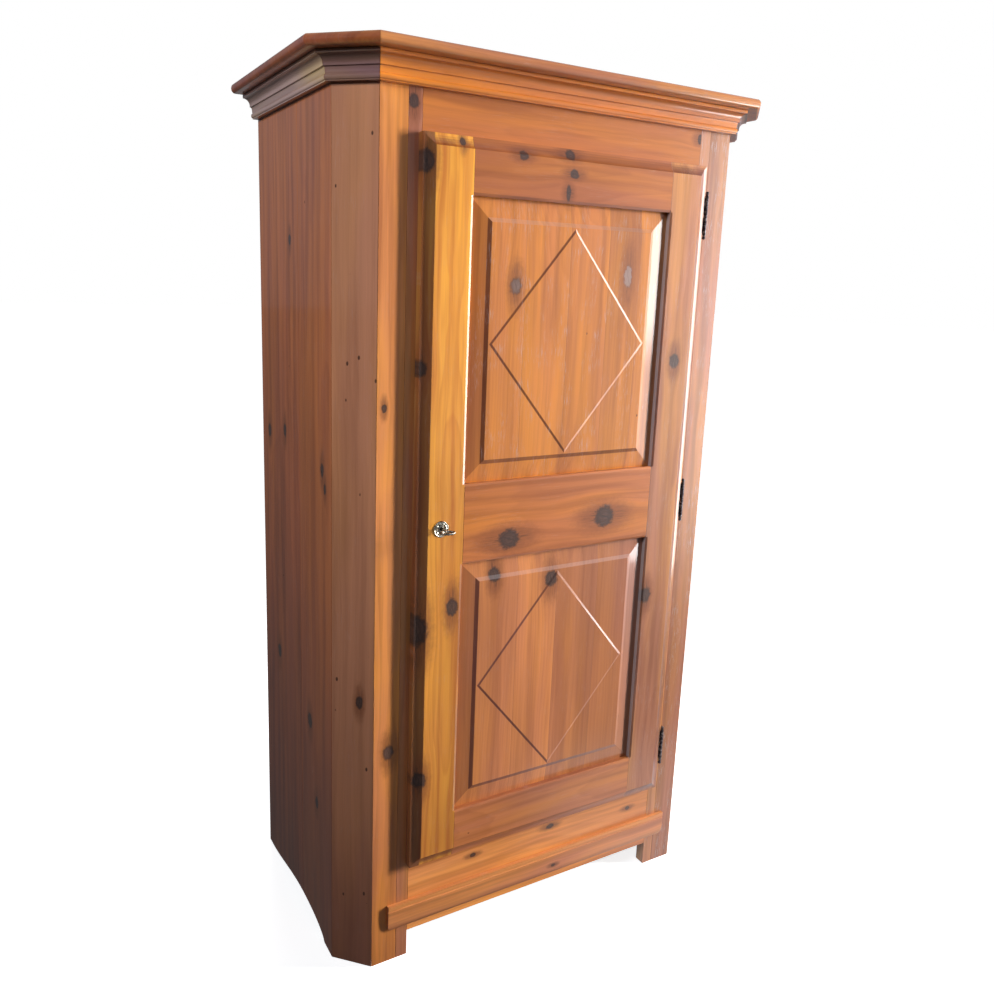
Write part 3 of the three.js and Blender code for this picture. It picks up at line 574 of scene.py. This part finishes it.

# %% [markdown]
# All the masks meet in one last group. Amber varnish over pine gives a warm ground, darker in the summer
# wood and in long streaks, here more golden and there more russet. Then come the layers, each a tint that
# multiplies the wood or a colour that covers it: painted shade towards one end of a board, where the light
# falls off, painted shade on the slopes and strips that the light misses, the cut ends that drink the stain,
# the knots, worm holes, joints, and a pale tint for scratches and for a painted sheen on slopes that look up
# or right. They are written as light values, which are smaller numbers than a screen's.

# %% Tints
GOLDEN, REDDER = (1.10, 1.08, 0.62, 1.0), (0.90, 0.84, 1.00, 1.0)
FOOT_SHADE_TINT, FOOT_SHADE_LIFT = (0.48, 0.36, 0.46, 1.0), (0.030, 0.018, 0.016, 1.0)
SLOPE_SHADE_TINT, CUT_END = (0.31, 0.27, 0.60, 1.0), (0.55, 0.36, 0.36, 1.0)
HALO_RED, RESIN = (0.22, 0.062, 0.020, 1.0), (0.024, 0.014, 0.012, 1.0)
KNOT_DARK, KNOT_DARKER = (0.064, 0.037, 0.031, 1.0), (0.042, 0.024, 0.020, 1.0)
KNOT_PALE, SCRATCH_AND_SHEEN_PALE = (0.36, 0.25, 0.22, 1.0), (0.52, 0.46, 0.45, 1.0)
HOLE_DARK, JOINT_DARK = (0.045, 0.018, 0.010, 1.0), (0.10, 0.036, 0.014, 1.0)
print("stain:", FOOT_SHADE_TINT)

# %% [markdown]
# The group gives the colour, the roughness and the height that the bump node reads: summer wood stands a
# hair proud, and the rims of knots, the joints and the marks are sunk.

# %% Varnished pine
tree, given, result = group(
    "varnished pine",
    {"Summer Wood": 0.0, "Ring Tone": 0.5, "Fibre": 0.5, "Streak": 0.5, "Patch": 0.5, "Warmth": 0.5,
     "Warmth Range": 1.0, "Mark": 0.0, "Joint": 0.0, "Tone": 0.5, "End Grain": 0.0, "Shade": 0.0,
     "Dirt": 0.0, "Bloom": 0.0, "Spring Colour": (0.7, 0.3, 0.08, 1), "Summer Colour": (0.3, 0.1, 0.03, 1),
     "Contrast": 0.6, **NO_MASKS},
    {"Colour": COLOUR, "Roughness": NUMBER, "Height": NUMBER},
)


def even(label, low, high):
    """A mask of 0 to 1 as a number from low to high."""
    return line(tree, given[label], high - low, low)


def tinted(colour, tint):
    """A colour multiplied by a tint."""
    return blended(tree, 1.0, colour, tint, "MULTIPLY")


lines = times(tree, given["Summer Wood"], even("Ring Tone", 0.0, 1.5))
lines = sums(tree, "MULTIPLY", lines, given["Contrast"], clamp=True)
colour = blended(tree, lines, given["Spring Colour"], given["Summer Colour"])
long_streak = sums(tree, "MULTIPLY", eased(tree, given["Streak"], 0.40, 0.70),
                   times(tree, given["Contrast"], 1.5), clamp=True)
colour = blended(tree, long_streak, colour, given["Summer Colour"])
light = times(tree, even("Fibre", 0.90, 1.10), even("Patch", 0.70, 1.30))
light = times(tree, light, even("Tone", 0.90, 1.10))
light = times(tree, light, even("Streak", 1.10, 0.90))
colour = tinted(colour, together(tree, light, light, light))
middle = line(tree, given["Warmth Range"], -0.5, 0.5)
redness = line(tree, eased(tree, given["Warmth"], 0.36, 0.64), given["Warmth Range"], middle)
colour = blended(tree, redness, tinted(colour, GOLDEN), tinted(colour, REDDER))
# Painted shade: the board darkens towards one end, where the window's light falls off.
colour = blended(tree, given["Shade"], colour, blended(tree, 1.0, tinted(colour, FOOT_SHADE_TINT), FOOT_SHADE_LIFT, "ADD"))
# Painted shade on the slopes and strips that the light misses.
colour = blended(tree, given["Dirt"], colour, tinted(colour, SLOPE_SHADE_TINT))
colour = blended(tree, given["End Grain"], colour, tinted(colour, CUT_END))
colour = blended(tree, times(tree, given["Halo"], 0.60), colour, HALO_RED)
inner = blended(tree, given["Pale"], blended(tree, given["Rings"], KNOT_DARK, KNOT_DARKER), KNOT_PALE)
colour = blended(tree, times(tree, given["Core"], 0.86), colour, inner)
rim = times(tree, given["Rim"], line(tree, given["Pale"], -0.45, 0.66))
colour = blended(tree, rim, colour, RESIN)
colour = blended(tree, times(tree, given["Mark"], 0.85), colour, HOLE_DARK)
colour = blended(tree, times(tree, given["Joint"], 0.2), colour, JOINT_DARK)
# A pale tint for the scratches, and a painted sheen on slopes that look up or right.
feed(tree, result["Colour"], blended(tree, given["Bloom"], colour, SCRATCH_AND_SHEEN_PALE))
dry = sums(tree, "ADD", even("Patch", 0.34, 0.54), times(tree, given["Fibre"], 0.08))
feed(tree, result["Roughness"], sums(tree, "ADD", dry, times(tree, given["Mark"], 0.25)))
height = line(tree, lines, 0.25, times(tree, given["Fibre"], 0.35))
for mask, sunk in (("Rim", -0.5), ("Mark", -2.2), ("Joint", -1.4)):
    height = sums(tree, "ADD", height, times(tree, given[mask], sunk))
feed(tree, result["Height"], height)
print("group:", tree.name)

# %% [markdown]
# The knots are set one by one where the photograph shows them, in metres across and along the board.
# Painted shade lies on slopes that look away from the light and on strips across a board, a painted pale
# sheen on slopes that look up or right, and fine pale scratches run along the grain. A slope is known by its
# normal, the direction it looks in.

# %% Knots, painted shade and scratches
RIGHT, BACK, UP = (1.0, 0.0, 0.0), (0.0, 1.0, 0.0), (0.0, 0.0, 1.0)
LEFT, DOWN = (-1.0, 0.0, 0.0), (0.0, 0.0, -1.0)


def chained_knots(tree, flat, bent, knots):
    """The knots of a board, one group after another, and the masks that the last one gives."""
    masks = {}
    for at_across, at_along, size, stretch, *pale in knots:
        knot = placed(tree, "knot", Measures=flat, Bent=bent, Across=at_across, Along=at_along, Size=size,
                      Stretch=stretch, Paleness=pale[0] if pale else 0.0, **masks)
        bent, masks = knot["Bent"], {mask: knot[mask] for mask in KNOT_MASKS}
    return bent, masks


def facing(tree, normal, direction, start, end):
    """0 where the surface runs with a direction, 1 where it faces along it."""
    return eased(tree, sums(tree, "ABSOLUTE", dot(tree, normal, direction)), start, end)


def shade_sheen_and_scratches(tree, flat, normal, slopes, edge, soiled, lines, bloom, scratched):
    """The masks of painted shade, and of a pale tint for scratches and painted sheen: each is the strongest
    of its own marks.
    """
    patchy = eased(tree, cloud(tree, scaled(tree, flat, 28, 0, 9), 3.0), 0.30, 0.62, 0.4, 1.0)
    hair = eased(tree, cloud(tree, scaled(tree, flat, 1100, 0, 30), 2.0, 0.6), 0.56, 0.68)
    hair = times(tree, hair, eased(tree, cloud(tree, scaled(tree, flat, 30, 0, 11), 3.0), 0.47, 0.60))
    # Painted shade on all slopes, made patchy by a cloud; the scratches are real wear.
    masks = {"Dirt": times(tree, times(tree, slopes, edge), patchy), "Bloom": times(tree, hair, scratched)}
    # Painted shade on slopes that look one way, and a painted pale sheen on others.
    for label, faces in (("Dirt", lines), ("Bloom", bloom)):
        for direction, start, strength in faces:
            mark = eased(tree, dot(tree, normal, direction), start, start + 0.04, 0.0, strength)
            masks[label] = sums(tree, "MAXIMUM", masks[label], mark)
    # Painted shade on a strip across the board.
    start, end, strength = soiled
    shaded_strip = eased(tree, parts(tree, flat)["X"], start, end, 0.0, strength)
    masks["Dirt"] = sums(tree, "MAXIMUM", masks["Dirt"], shaded_strip)
    return masks


print("right, back and up:", RIGHT, BACK, UP)

# %% [markdown]
# Colours are written as a screen shows them, and a shader wants light, so one helper turns one into the
# other. Another makes the bump that gives a surface its fine relief: it tilts the normal and moves no face.

# %% Colours and bumps
def paint(red, green, blue):
    """A screen colour of 0 to 255 as the straight light value that a shader reads."""
    part = np.array([red, green, blue], float) / 255
    light = np.where(part <= 0.04045, part / 12.92, ((part + 0.055) / 1.055) ** 2.4)
    return (*light.tolist(), 1.0)


def relief(tree, shader, height, strength, metres):
    """A bump: the height steers the shader's normal."""
    bump = filled(tree, new(tree, "Bump"), Strength=strength, Distance=metres, Height=height)
    feed(tree, shader.inputs["Normal"], bump["Normal"])


print("a honey colour as light:", paint(222, 146, 82))

# %% [markdown]
# Every board now gets a material of its own, put together from the groups. The directions say how it was
# laid, and the heart and the ring width say where in the tree it was sawn. Values that are the same all
# over, such as the varnish coat, go straight on the shader. The coat is a thin clear layer with a shine of
# its own.

# %% One board's material
UNSHADED = (0.0, 1.0, 0.0)
SLOPE_FROM, SLOPE_TO = 0.15, 0.32
GRAIN_BUMP, GRAIN_METRES, WOOD_SHINE = 0.35, 0.0004, 0.40


def board(name, colours, seed, heart, wander, across=RIGHT, along=UP, ring=0.0054, knots=(), joints=(),
          marks=(0.1, 0.0011, 0.03), contrast=0.32, warmth=0.8, shade=UNSHADED, soiled=UNSHADED, edge=0.0,
          lines=(), bloom=(), scratched=0.12, glint=None, coat=0.85, coat_rough=0.08):
    """A board's material. colours are of its spring and summer wood, heart is its place across and behind,
    and knots are (across, along, size, stretch) with a paleness where they are pale. joints are places
    across, and marks are the share, size and spacing of worm holes. warmth is how far the wood ranges from
    golden to russet. shade is (start, end, strength) of painted shade along the board, and soiled is the
    same of painted shade across it. edge is how much painted shade lies on all slopes, lines and bloom are
    (direction, start, strength) of painted shade and of a painted pale sheen on slopes that look one way,
    and scratched is how clear the scratches are. glint is (height, height, varnish left below) of slopes
    that look right and are bright only high up."""
    material = bpy.data.materials.new(name)
    material.use_nodes = True
    tree = material.node_tree
    shader = tree.nodes["Principled BSDF"]
    surface = new(tree, "TexCoord").outputs
    point, normal = surface["Object"], surface["Normal"]
    flat = placed(tree, "board measures", Point=point, Across=across, Along=along)["Measures"]
    stave = placed(tree, "staves", Measures=flat, **dict(zip(JOINTS, joints)))
    bent, masks = chained_knots(tree, flat, stave["Measures"], knots)
    figure = placed(tree, "pine figure", Measures=bent, Seed=seed, Heart_Across=heart[0],
                    Heart_Depth=heart[1], Ring_Width=ring, Wander=wander)
    share, size, spacing = marks
    mark = placed(tree, "old marks", Measures=flat, Share=share, Size=size, Spacing=spacing, Seed=seed)
    start, end, strength = shade
    darkened = times(tree, eased(tree, parts(tree, flat)["Z"], start, end), strength)
    slopes = sums(tree, "MAXIMUM", facing(tree, normal, across, SLOPE_FROM, SLOPE_TO),
                  facing(tree, normal, along, SLOPE_FROM, SLOPE_TO))
    masks |= shade_sheen_and_scratches(tree, flat, normal, slopes, edge, soiled, lines, bloom, scratched)
    masks |= {label.replace(" ", "_"): figure[label] for label in figure.keys()}
    look = placed(tree, "varnished pine", Mark=mark["Mark"], Joint=stave["Joint"],
                  Tone=stave["Tone"] if joints else 0.5, Spring_Colour=paint(*colours[0]),
                  Summer_Colour=paint(*colours[1]), Contrast=contrast, Warmth_Range=warmth, Shade=darkened,
                  End_Grain=facing(tree, normal, along, 0.25, 0.75), **masks)
    filled(tree, shader, Base_Color=look["Colour"], Roughness=look["Roughness"], Coat_Weight=coat,
           Coat_Roughness=coat_rough, Specular_IOR_Level=WOOD_SHINE)
    relief(tree, shader, look["Height"], GRAIN_BUMP, GRAIN_METRES)
    if glint:
        looks = eased(tree, dot(tree, normal, RIGHT), 0.06, 0.11)
        worn = eased(tree, parts(tree, flat)["Z"], glint[1], glint[0], 1.0 - glint[2], 0.0)
        left = line(tree, times(tree, looks, worn), -1.0, 1.0)
        feed(tree, shader.inputs["Coat Weight"], times(tree, left, coat))
    return material


print("grain relief in mm:", 1000 * GRAIN_METRES)

# %% [markdown]
# No planed board has a knife-sharp edge, and varnish rounds it further, which is what catches the light.
# The measured solids are sharp, so each wooden piece is a merged copy of its solid with its flat triangles
# joined into whole faces and a small Bevel modifier on its arrises. Weighted normals let the widest face at
# each corner rule, which keeps the flats flat.

# %% Wooden pieces
MERGE_METRES, FLAT_DEGREES = 0.00002, 0.4


def eased_copy(name, ending, material, width, segments, sharp):
    """A copy of a solid's mesh: doubles merged, flat faces joined, arrises rounded by width in metres. Edges
    that turn by more than sharp degrees are arrises."""
    mesh = bmesh.new()
    mesh.from_mesh(nodes[name].data)
    bmesh.ops.remove_doubles(mesh, verts=mesh.verts, dist=MERGE_METRES)
    bmesh.ops.dissolve_limit(mesh, angle_limit=radians(FLAT_DEGREES), verts=mesh.verts, edges=mesh.edges)
    for face in mesh.faces:
        face.smooth = True
    data = bpy.data.meshes.new(name + ending)
    mesh.to_mesh(data)
    mesh.free()
    data.materials.append(material)
    piece = in_scene(name + ending, data)
    rounding = piece.modifiers.new("arris", "BEVEL")
    rounding.width = width
    rounding.segments = segments
    rounding.limit_method = "ANGLE"
    rounding.angle_limit = radians(sharp)
    flats = piece.modifiers.new("flats", "WEIGHTED_NORMAL")
    flats.mode = "FACE_AREA"
    flats.weight = 100
    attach(piece, nodes[name]["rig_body"])
    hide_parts(name)


def make(name, width=0.0007, sharp=26.0, **look):
    """A wooden piece with its own board material."""
    eased_copy(name, "_wood", board(name, **look), width, 2, sharp)


# %% [markdown]
# The front frame. The outer stiles and the narrow strips glued to them are quarter-sawn and straight in the
# grain, the rails are flat-sawn and lie sideways. The strip at the top left has a small knot just beside
# the cornice, the top rail shows one near its right end, and the bottom rail three in a row. The right
# stile and its strip are duller and more scratched, as in the photograph.

# %% Front frame
LYING = {"across": UP, "along": RIGHT}
# Painted shade: the left stile darkens towards its foot, where the window's light falls off.
make("stile_left", colours=((240, 158, 88), (172, 96, 50)), seed=1.3, heart=(-0.30, 0.05), ring=0.0060,
     wander=0.03, shade=(0.95, 0.05, 0.42), knots=[(-0.384, 0.497, 0.011, 1.4, 0.12),
                                                   (-0.402, 1.21, 0.005, 1.5)])
# The strip's darker, cooler colours are partly painted shade for the door's shadow that lies on it.
make("strip_left", colours=((192, 125, 88), (138, 80, 54)), seed=2.1, heart=(-0.42, 0.03), ring=0.0063,
     wander=0.02, knots=[(-0.351, 1.758, 0.009, 1.3)])
make("stile_right", colours=((190, 126, 90), (136, 82, 56)), seed=3.7, heart=(0.46, 0.03), ring=0.0045,
     wander=0.03, contrast=0.4, scratched=1.0, coat_rough=0.24)
make("strip_right", colours=((206, 142, 100), (150, 88, 58)), seed=4.9, heart=(0.30, 0.04), ring=0.0060,
     wander=0.02, scratched=0.9, coat_rough=0.24)
make("top_rail", **LYING, colours=((198, 119, 58), (146, 76, 36)), seed=5.2, heart=(1.72, 0.05), wander=0.04,
     knots=[(1.7630, 0.331, 0.009, 0.8)])
# Painted shade: the bottom rail darkens towards its right end.
make("bottom_rail", **LYING, colours=((248, 166, 98), (190, 106, 56)), warmth=0.45, seed=6.4,
     heart=(0.11, 0.04), wander=0.05, shade=(-0.10, 0.30, 0.5),
     knots=[(0.191, -0.173, 0.0045, 1.6), (0.199, 0.035, 0.0055, 1.8), (0.178, 0.269, 0.0045, 1.6)])
make("base_moulding", width=0.0012, **LYING, colours=((234, 154, 108), (168, 98, 64)), seed=7.7,
     heart=(0.02, 0.05), wander=0.03, knots=[(0.098, 0.045, 0.004, 1.4)], coat_rough=0.3)
print("front frame done")

# %% [markdown]
# The cut-off corners and the sides. The corner boards are the most marked of all, with worm holes and dents
# down their upper half. A corner board lies at 45 degrees, so its across direction does too. The sides are
# two wide boards each, russet and knotty. The right side isn't in the photograph and stands in the full
# light of the window, so its boards are given darker colours and a thin, dull varnish, as a guess.

# %% Corners and sides
DIAGONAL = 0.70710678
RUSSET, BROWN = ((194, 112, 66), (130, 62, 36)), ((190, 109, 66), (122, 58, 34))
SIDE_COLOURS = {"left": (RUSSET, BROWN),
                "right": (((152, 92, 50), (100, 52, 28)), ((148, 89, 48), (96, 48, 26)))}
VARNISH = {"left": {}, "right": {"coat": 0.2, "coat_rough": 0.5}}
for side, hand in (("left", -1), ("right", 1)):
    front_colours, rear_colours = SIDE_COLOURS[side]
    # Painted shade: each corner and side board darkens towards its foot.
    make(f"cant_board_{side}", across=(hand * DIAGONAL, DIAGONAL, 0.0), **VARNISH[side],
         colours=((200, 134, 102), (142, 84, 58)), warmth=0.2, contrast=0.16, shade=(0.5, 0.05, 0.55),
         seed=8.1 + hand, heart=(0.38, 0.05), ring=0.0063, wander=0.04, marks=(0.6, 0.0018, 0.021),
         knots=[(0.165, 0.610, 0.007, 1.8), (0.10, 1.36, 0.005, 2.2)])
    make(f"side_front_board_{side}", across=BACK, **VARNISH[side], colours=front_colours, warmth=0.4,
         contrast=0.26, shade=(1.7, 0.1, 0.55), seed=10.3 + 2 * hand, heart=(-0.05, 0.43 * hand),
         ring=0.0067, wander=0.06, marks=(0.12, 0.0012, 0.03),
         knots=[(-0.111, 1.074, 0.008, 1.7), (-0.126, 1.038, 0.006, 1.7), (-0.028, 0.496, 0.012, 1.3),
                (-0.07, 0.32, 0.008, 1.6)])
    make(f"side_rear_board_{side}", across=BACK, **VARNISH[side], colours=rear_colours, warmth=0.4,
         shade=(1.7, 0.1, 0.75), seed=14.6 + 2 * hand, heart=(0.2, 0.42 * hand), ring=0.0067, wander=0.06,
         knots=[(0.241, 1.097, 0.010, 1.5), (0.127, 1.116, 0.009, 1.5), (0.187, 0.574, 0.011, 1.4),
                (0.08, 1.52, 0.007, 1.5)])
print("corners and sides done")

# %% [markdown]
# The cornice and the top board are straight-grained lengths that meet in mitres, so the grain of each turns
# the corner with it. The short lengths round the corners and along the sides are given greyer colours,
# which are a painted cool reflection of the sky in their varnish.

# %% Cornice
make("top_board", width=0.0012, across=BACK, along=RIGHT, colours=((210, 138, 90), (158, 90, 54)), seed=21.0,
     heart=(-0.35, 1.80), ring=0.0060, wander=0.05, joints=(-0.10, 0.09),
     knots=[(-0.02, 0.22, 0.010, 1.2), (0.16, -0.3, 0.012, 1.2)])
make("cornice_front", width=0.0006, **LYING, colours=((226, 136, 58), (170, 92, 38)), seed=22.4,
     heart=(1.74, -0.25), ring=0.0051, wander=0.02)
for side, hand in (("left", -1), ("right", 1)):
    make(f"cornice_cant_{side}", width=0.0006, across=UP, along=(hand * DIAGONAL, DIAGONAL, 0.0),
         colours=((144, 108, 100), (98, 66, 58)), seed=24.0 + hand, heart=(1.74, 0.02), ring=0.0051,
         wander=0.02)
    make(f"cornice_side_{side}", width=0.0006, across=UP, along=BACK, **VARNISH[side],
         colours=((200, 166, 144), (142, 108, 90)), seed=27.0 + hand, heart=(1.74, 0.55 * hand), ring=0.0051,
         wander=0.02)
print("cornice done")

# %% [markdown]
# The door is the face of the piece. Its left stile is a paler, golden board, the right one is quieter, and
# the rails carry dark round knots. The knots of the door's left edge go through to its side. The slopes of
# the stiles and of the top rail carry painted shade, darkest on the bevel along the left edge, which looks
# away from the window. Each stile is darker towards its foot, which is painted shade too, and the inner wall
# of the right stile is given a pale grey as a painted reflection.

# %% Door frame
DOOR = {"sharp": 5.0}
# Painted shade: the bevel along the left edge is darkened across its width, where the window's light misses
# it.
make("door_stile_left", **DOOR, colours=((255, 181, 72), (208, 116, 43)), warmth=0.4, edge=0.6,
     soiled=(-0.3165, -0.3185, 0.95), seed=31.0, heart=(-0.272, -0.205), ring=0.0085, wander=0.08,
     contrast=0.5, shade=(1.5, 0.7, 0.5),
     knots=[(-0.334, 1.657, 0.014, 1.35), (-0.339, 1.285, 0.012, 1.2), (-0.336, 0.762, 0.020, 1.55),
            (-0.260, 0.803, 0.012, 1.5), (-0.325, 0.431, 0.014, 1.2), (-0.262, 1.696, 0.006, 1.2)])
# Painted reflection: a pale grey on the right stile's inner wall, which looks left.
make("door_stile_right", **DOOR, colours=((194, 131, 88), (140, 78, 46)), edge=0.6, scratched=0.3,
     bloom=((LEFT, 0.6, 0.45),), shade=(1.55, 1.0, 0.2), seed=33.0, heart=(0.30, -0.17),
     ring=0.0063, wander=0.05, contrast=0.3, coat_rough=0.12,
     knots=[(0.281, 1.291, 0.0125, 1.15), (0.249, 0.750, 0.014, 1.2)])
make("door_rail_top", **DOOR, **LYING, colours=((186, 110, 60), (136, 70, 34)), edge=0.5, seed=35.0,
     heart=(1.70, -0.20), wander=0.05,
     knots=[(1.684, -0.133, 0.0085, 1.1), (1.695, -0.023, 0.0095, 1.15), (1.660, -0.014, 0.008, 1.2),
            (1.623, -0.026, 0.014, 0.36)])
make("door_rail_middle", **DOOR, **LYING, colours=((202, 122, 62), (148, 78, 34)), seed=37.0,
     heart=(1.0, -0.19), wander=0.07, knots=[(0.931, -0.130, 0.019, 1.2), (0.954, 0.114, 0.022, 1.1)])
make("door_rail_bottom", **DOOR, **LYING, colours=((200, 124, 76), (146, 78, 44)), seed=39.0,
     heart=(0.30, -0.19), wander=0.06, knots=[(0.350, -0.133, 0.006, 1.5)])
print("door frame done")

# %% [markdown]
# The two fielded panels are glued up from upright staves of differing tone. The upper one has two knots,
# one of them pale. Painted shade lies on the slopes of the margin and of the raised diamond that look left
# or down, away from the light, a painted pale sheen on those that look up or right, and only the upper part
# of a right slope still shines. The lower panel is darker towards its right side, which is painted shade
# too.

# %% Door panels
LEFT_AND_DOWN = ((LEFT, 0.07, 0.35), (LEFT, 0.13, 0.9), (DOWN, 0.17, 0.7))
UP_AND_RIGHT = ((UP, 0.18, 0.16), (RIGHT, 0.07, 0.12))
FIELDED = {"width": 0.0006, "sharp": 3.0, "lines": LEFT_AND_DOWN, "bloom": UP_AND_RIGHT, "ring": 0.0060}
make("door_panel_upper", **FIELDED, colours=((208, 130, 62), (152, 82, 36)), glint=(1.40, 1.26, 0.12),
     scratched=0.6, contrast=0.26, seed=41.0, heart=(0.02, -0.14), wander=0.06,
     joints=(-0.115, -0.01, 0.088, 0.17),
     knots=[(-0.136, 1.442, 0.012, 1.35, 0.4), (0.140, 1.468, 0.011, 2.2, 0.95)])
make("door_panel_lower", **FIELDED, colours=((204, 130, 82), (146, 78, 46)), glint=(0.66, 0.58, 0.10),
     contrast=0.22, warmth=0.45, seed=43.0, heart=(0.05, -0.15), wander=0.05, joints=(-0.10, 0.0, 0.11),
     soiled=(0.02, 0.17, 0.45), knots=[(-0.158, 0.855, 0.0125, 1.2), (-0.016, 0.828, 0.014, 1.2)])
print("door panels done")

# %% [markdown]
# Inside and behind, the pine is planed but never varnished: paler, rougher and without a coat.

# %% Inside and back
BARE = {"colours": ((220, 164, 116), (170, 110, 68)), "warmth": 0.2, "coat": 0.0, "contrast": 0.4}
for place in range(1, 7):
    make(f"back_board_{place}", **BARE, seed=50.0 + 1.7 * place, heart=(-0.55 + 0.16 * place, 0.36),
         ring=0.0069, wander=0.07,
         knots=[(-0.55 + 0.157 * place, 0.35 + 0.23 * place, 0.012, 1.3),
                (-0.50 + 0.157 * place, 1.62 - 0.19 * place, 0.009, 1.3)])
for place, name in enumerate(("floor_board", "shelf_1", "shelf_2", "shelf_3")):
    make(name, width=0.001, across=BACK, along=RIGHT, **BARE, seed=62.0 + 2.3 * place, heart=(-0.1, 0.3),
         ring=0.0069, wander=0.06, joints=(-0.06, 0.11), knots=[(0.05, -0.2 + 0.13 * place, 0.012, 1.2)])
for name in [node for node in nodes if "cleat" in node]:
    make(name, width=0.001, across=UP, along=BACK, **BARE, seed=70.0 + len(name), ring=0.0060,
         heart=(0.3, 0.4), wander=0.02)
print("inside and back done")

# %% [markdown]
# The hinges are dark, worn iron, a brownish grey in the hollows with a thin polished shine where hands and
# cloths have rubbed it, so colour and roughness follow one cloud of wear. The key and the lock are of
# brass, dark with age between worn bright places.

# %% Iron and brass
FINER = 7


def metal(name, dark, bright, wear, rough, scale, metallic):
    """A worn metal: two colours, two roughnesses, and a bump, all steered by one cloud of wear with so many
    blobs a metre. wear is where in the cloud the worn places start and end."""
    material = bpy.data.materials.new(name)
    material.use_nodes = True
    tree = material.node_tree
    shader = tree.nodes["Principled BSDF"]
    point = new(tree, "TexCoord").outputs["Object"]
    coarse = cloud(tree, scaled(tree, point, scale, scale, scale), 4.0, 0.6)
    fine = cloud(tree, scaled(tree, point, scale * FINER, scale * FINER, scale * FINER), 3.0, 0.6)
    worn = eased(tree, coarse, *wear)
    dull = sums(tree, "ADD", eased(tree, worn, 0.0, 1.0, *rough), times(tree, fine, 0.08))
    filled(tree, shader, Base_Color=blended(tree, worn, paint(*dark), paint(*bright)), Roughness=dull,
           Metallic=metallic)
    relief(tree, shader, sums(tree, "ADD", coarse, times(tree, fine, 0.4)), 0.25, 0.0002)
    return material


iron = metal("black_iron", dark=(66, 58, 62), bright=(160, 152, 150), wear=(0.42, 0.72), rough=(0.55, 0.28),
             scale=160, metallic=0.85)
brass = metal("dull_brass", dark=(64, 54, 42), bright=(240, 232, 212), wear=(0.40, 0.56),
              rough=(0.36, 0.16), scale=150, metallic=1.0)
for name in nodes:
    if name.startswith("hinge"):
        eased_copy(name, "_metal", iron, width=0.0002, segments=1, sharp=50.0)
for name in ("key", "lock_case", "lock_bolt", "keeper_plate"):
    eased_copy(name, "_metal", brass, width=0.0002, segments=1, sharp=50.0)
print("metal pieces done")

# %% [markdown]
# The keyhole sits in a small cast rosette: a boss round the hole, a ring of petals and a beaded rim. A
# rosette is a height over each turn and each distance from the middle, so two lists of numbers and two
# waves draw all of it. Its back is flat and lies on the door, and its place and size are those of the
# measured plate.

# %% Rosette round the keyhole
plate = np.array([tuple(corner) for corner in nodes["escutcheon"].bound_box])
low, high = plate.min(axis=0), plate.max(axis=0)
KEYHOLE = np.array([(low[0] + high[0]) / 2, high[1], (low[2] + high[2]) / 2])
HOLE, RIM, PETALS, BEADS = 0.0031, (high[0] - low[0]) / 2, 10, 36


def rosette(around=144, out=34):
    """Height in mm = a profile of the distance + 0.3 cos(petals x turn) in the middle ring
    + 0.18 cos(beads x turn) in the rim. Each turn's loop runs out over the front and home along the back."""
    turn = np.linspace(0.0, 2.0 * np.pi, around, endpoint=False)[:, None]
    share = np.linspace(0.0, 1.0, out)[None, :]
    profile = np.interp(share, [0.0, 0.10, 0.22, 0.40, 0.62, 0.78, 0.88, 0.95, 1.0],
                        [1.9, 2.2, 1.5, 0.9, 1.6, 0.9, 1.9, 1.7, 0.6])
    petals = 0.3 * np.cos(PETALS * turn) * np.exp(-((share - 0.58) / 0.16) ** 2)
    beads = 0.18 * np.cos(BEADS * turn) * np.exp(-((share - 0.90) / 0.06) ** 2)
    height = (profile + petals + beads) / 1000
    reach = HOLE + (RIM - HOLE) * share + 0.0 * turn
    reach = np.concatenate([reach, reach[:, -1:], reach[:, :1]], axis=1)
    height = np.concatenate([height, np.zeros((around, 2))], axis=1)
    points = np.stack([reach * np.cos(turn), -height, reach * np.sin(turn)], axis=-1) + KEYHOLE
    count = out + 2
    near = np.arange(around)[:, None] * count + np.arange(count)[None, :]
    ahead = np.roll(near, -1, axis=0)
    quads = np.stack([near, ahead, np.roll(ahead, -1, axis=1), np.roll(near, -1, axis=1)], axis=-1)
    return points.reshape(-1, 3), quads.reshape(-1, 4)


points, quads = rosette()
rosette_mesh = bpy.data.meshes.new("rosette")
rosette_mesh.from_pydata(points.tolist(), [], quads.tolist())
shaped = bmesh.new()
shaped.from_mesh(rosette_mesh)
bmesh.ops.recalc_face_normals(shaped, faces=shaped.faces)
shaped.to_mesh(rosette_mesh)
shaped.free()
rosette_mesh.polygons.foreach_set("use_smooth", np.ones(len(quads), dtype=bool))
rosette_mesh.materials.append(brass)
escutcheon = in_scene("rosette", rosette_mesh)
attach(escutcheon, nodes["escutcheon"]["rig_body"])
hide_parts("escutcheon")
print("rosette faces:", len(quads))
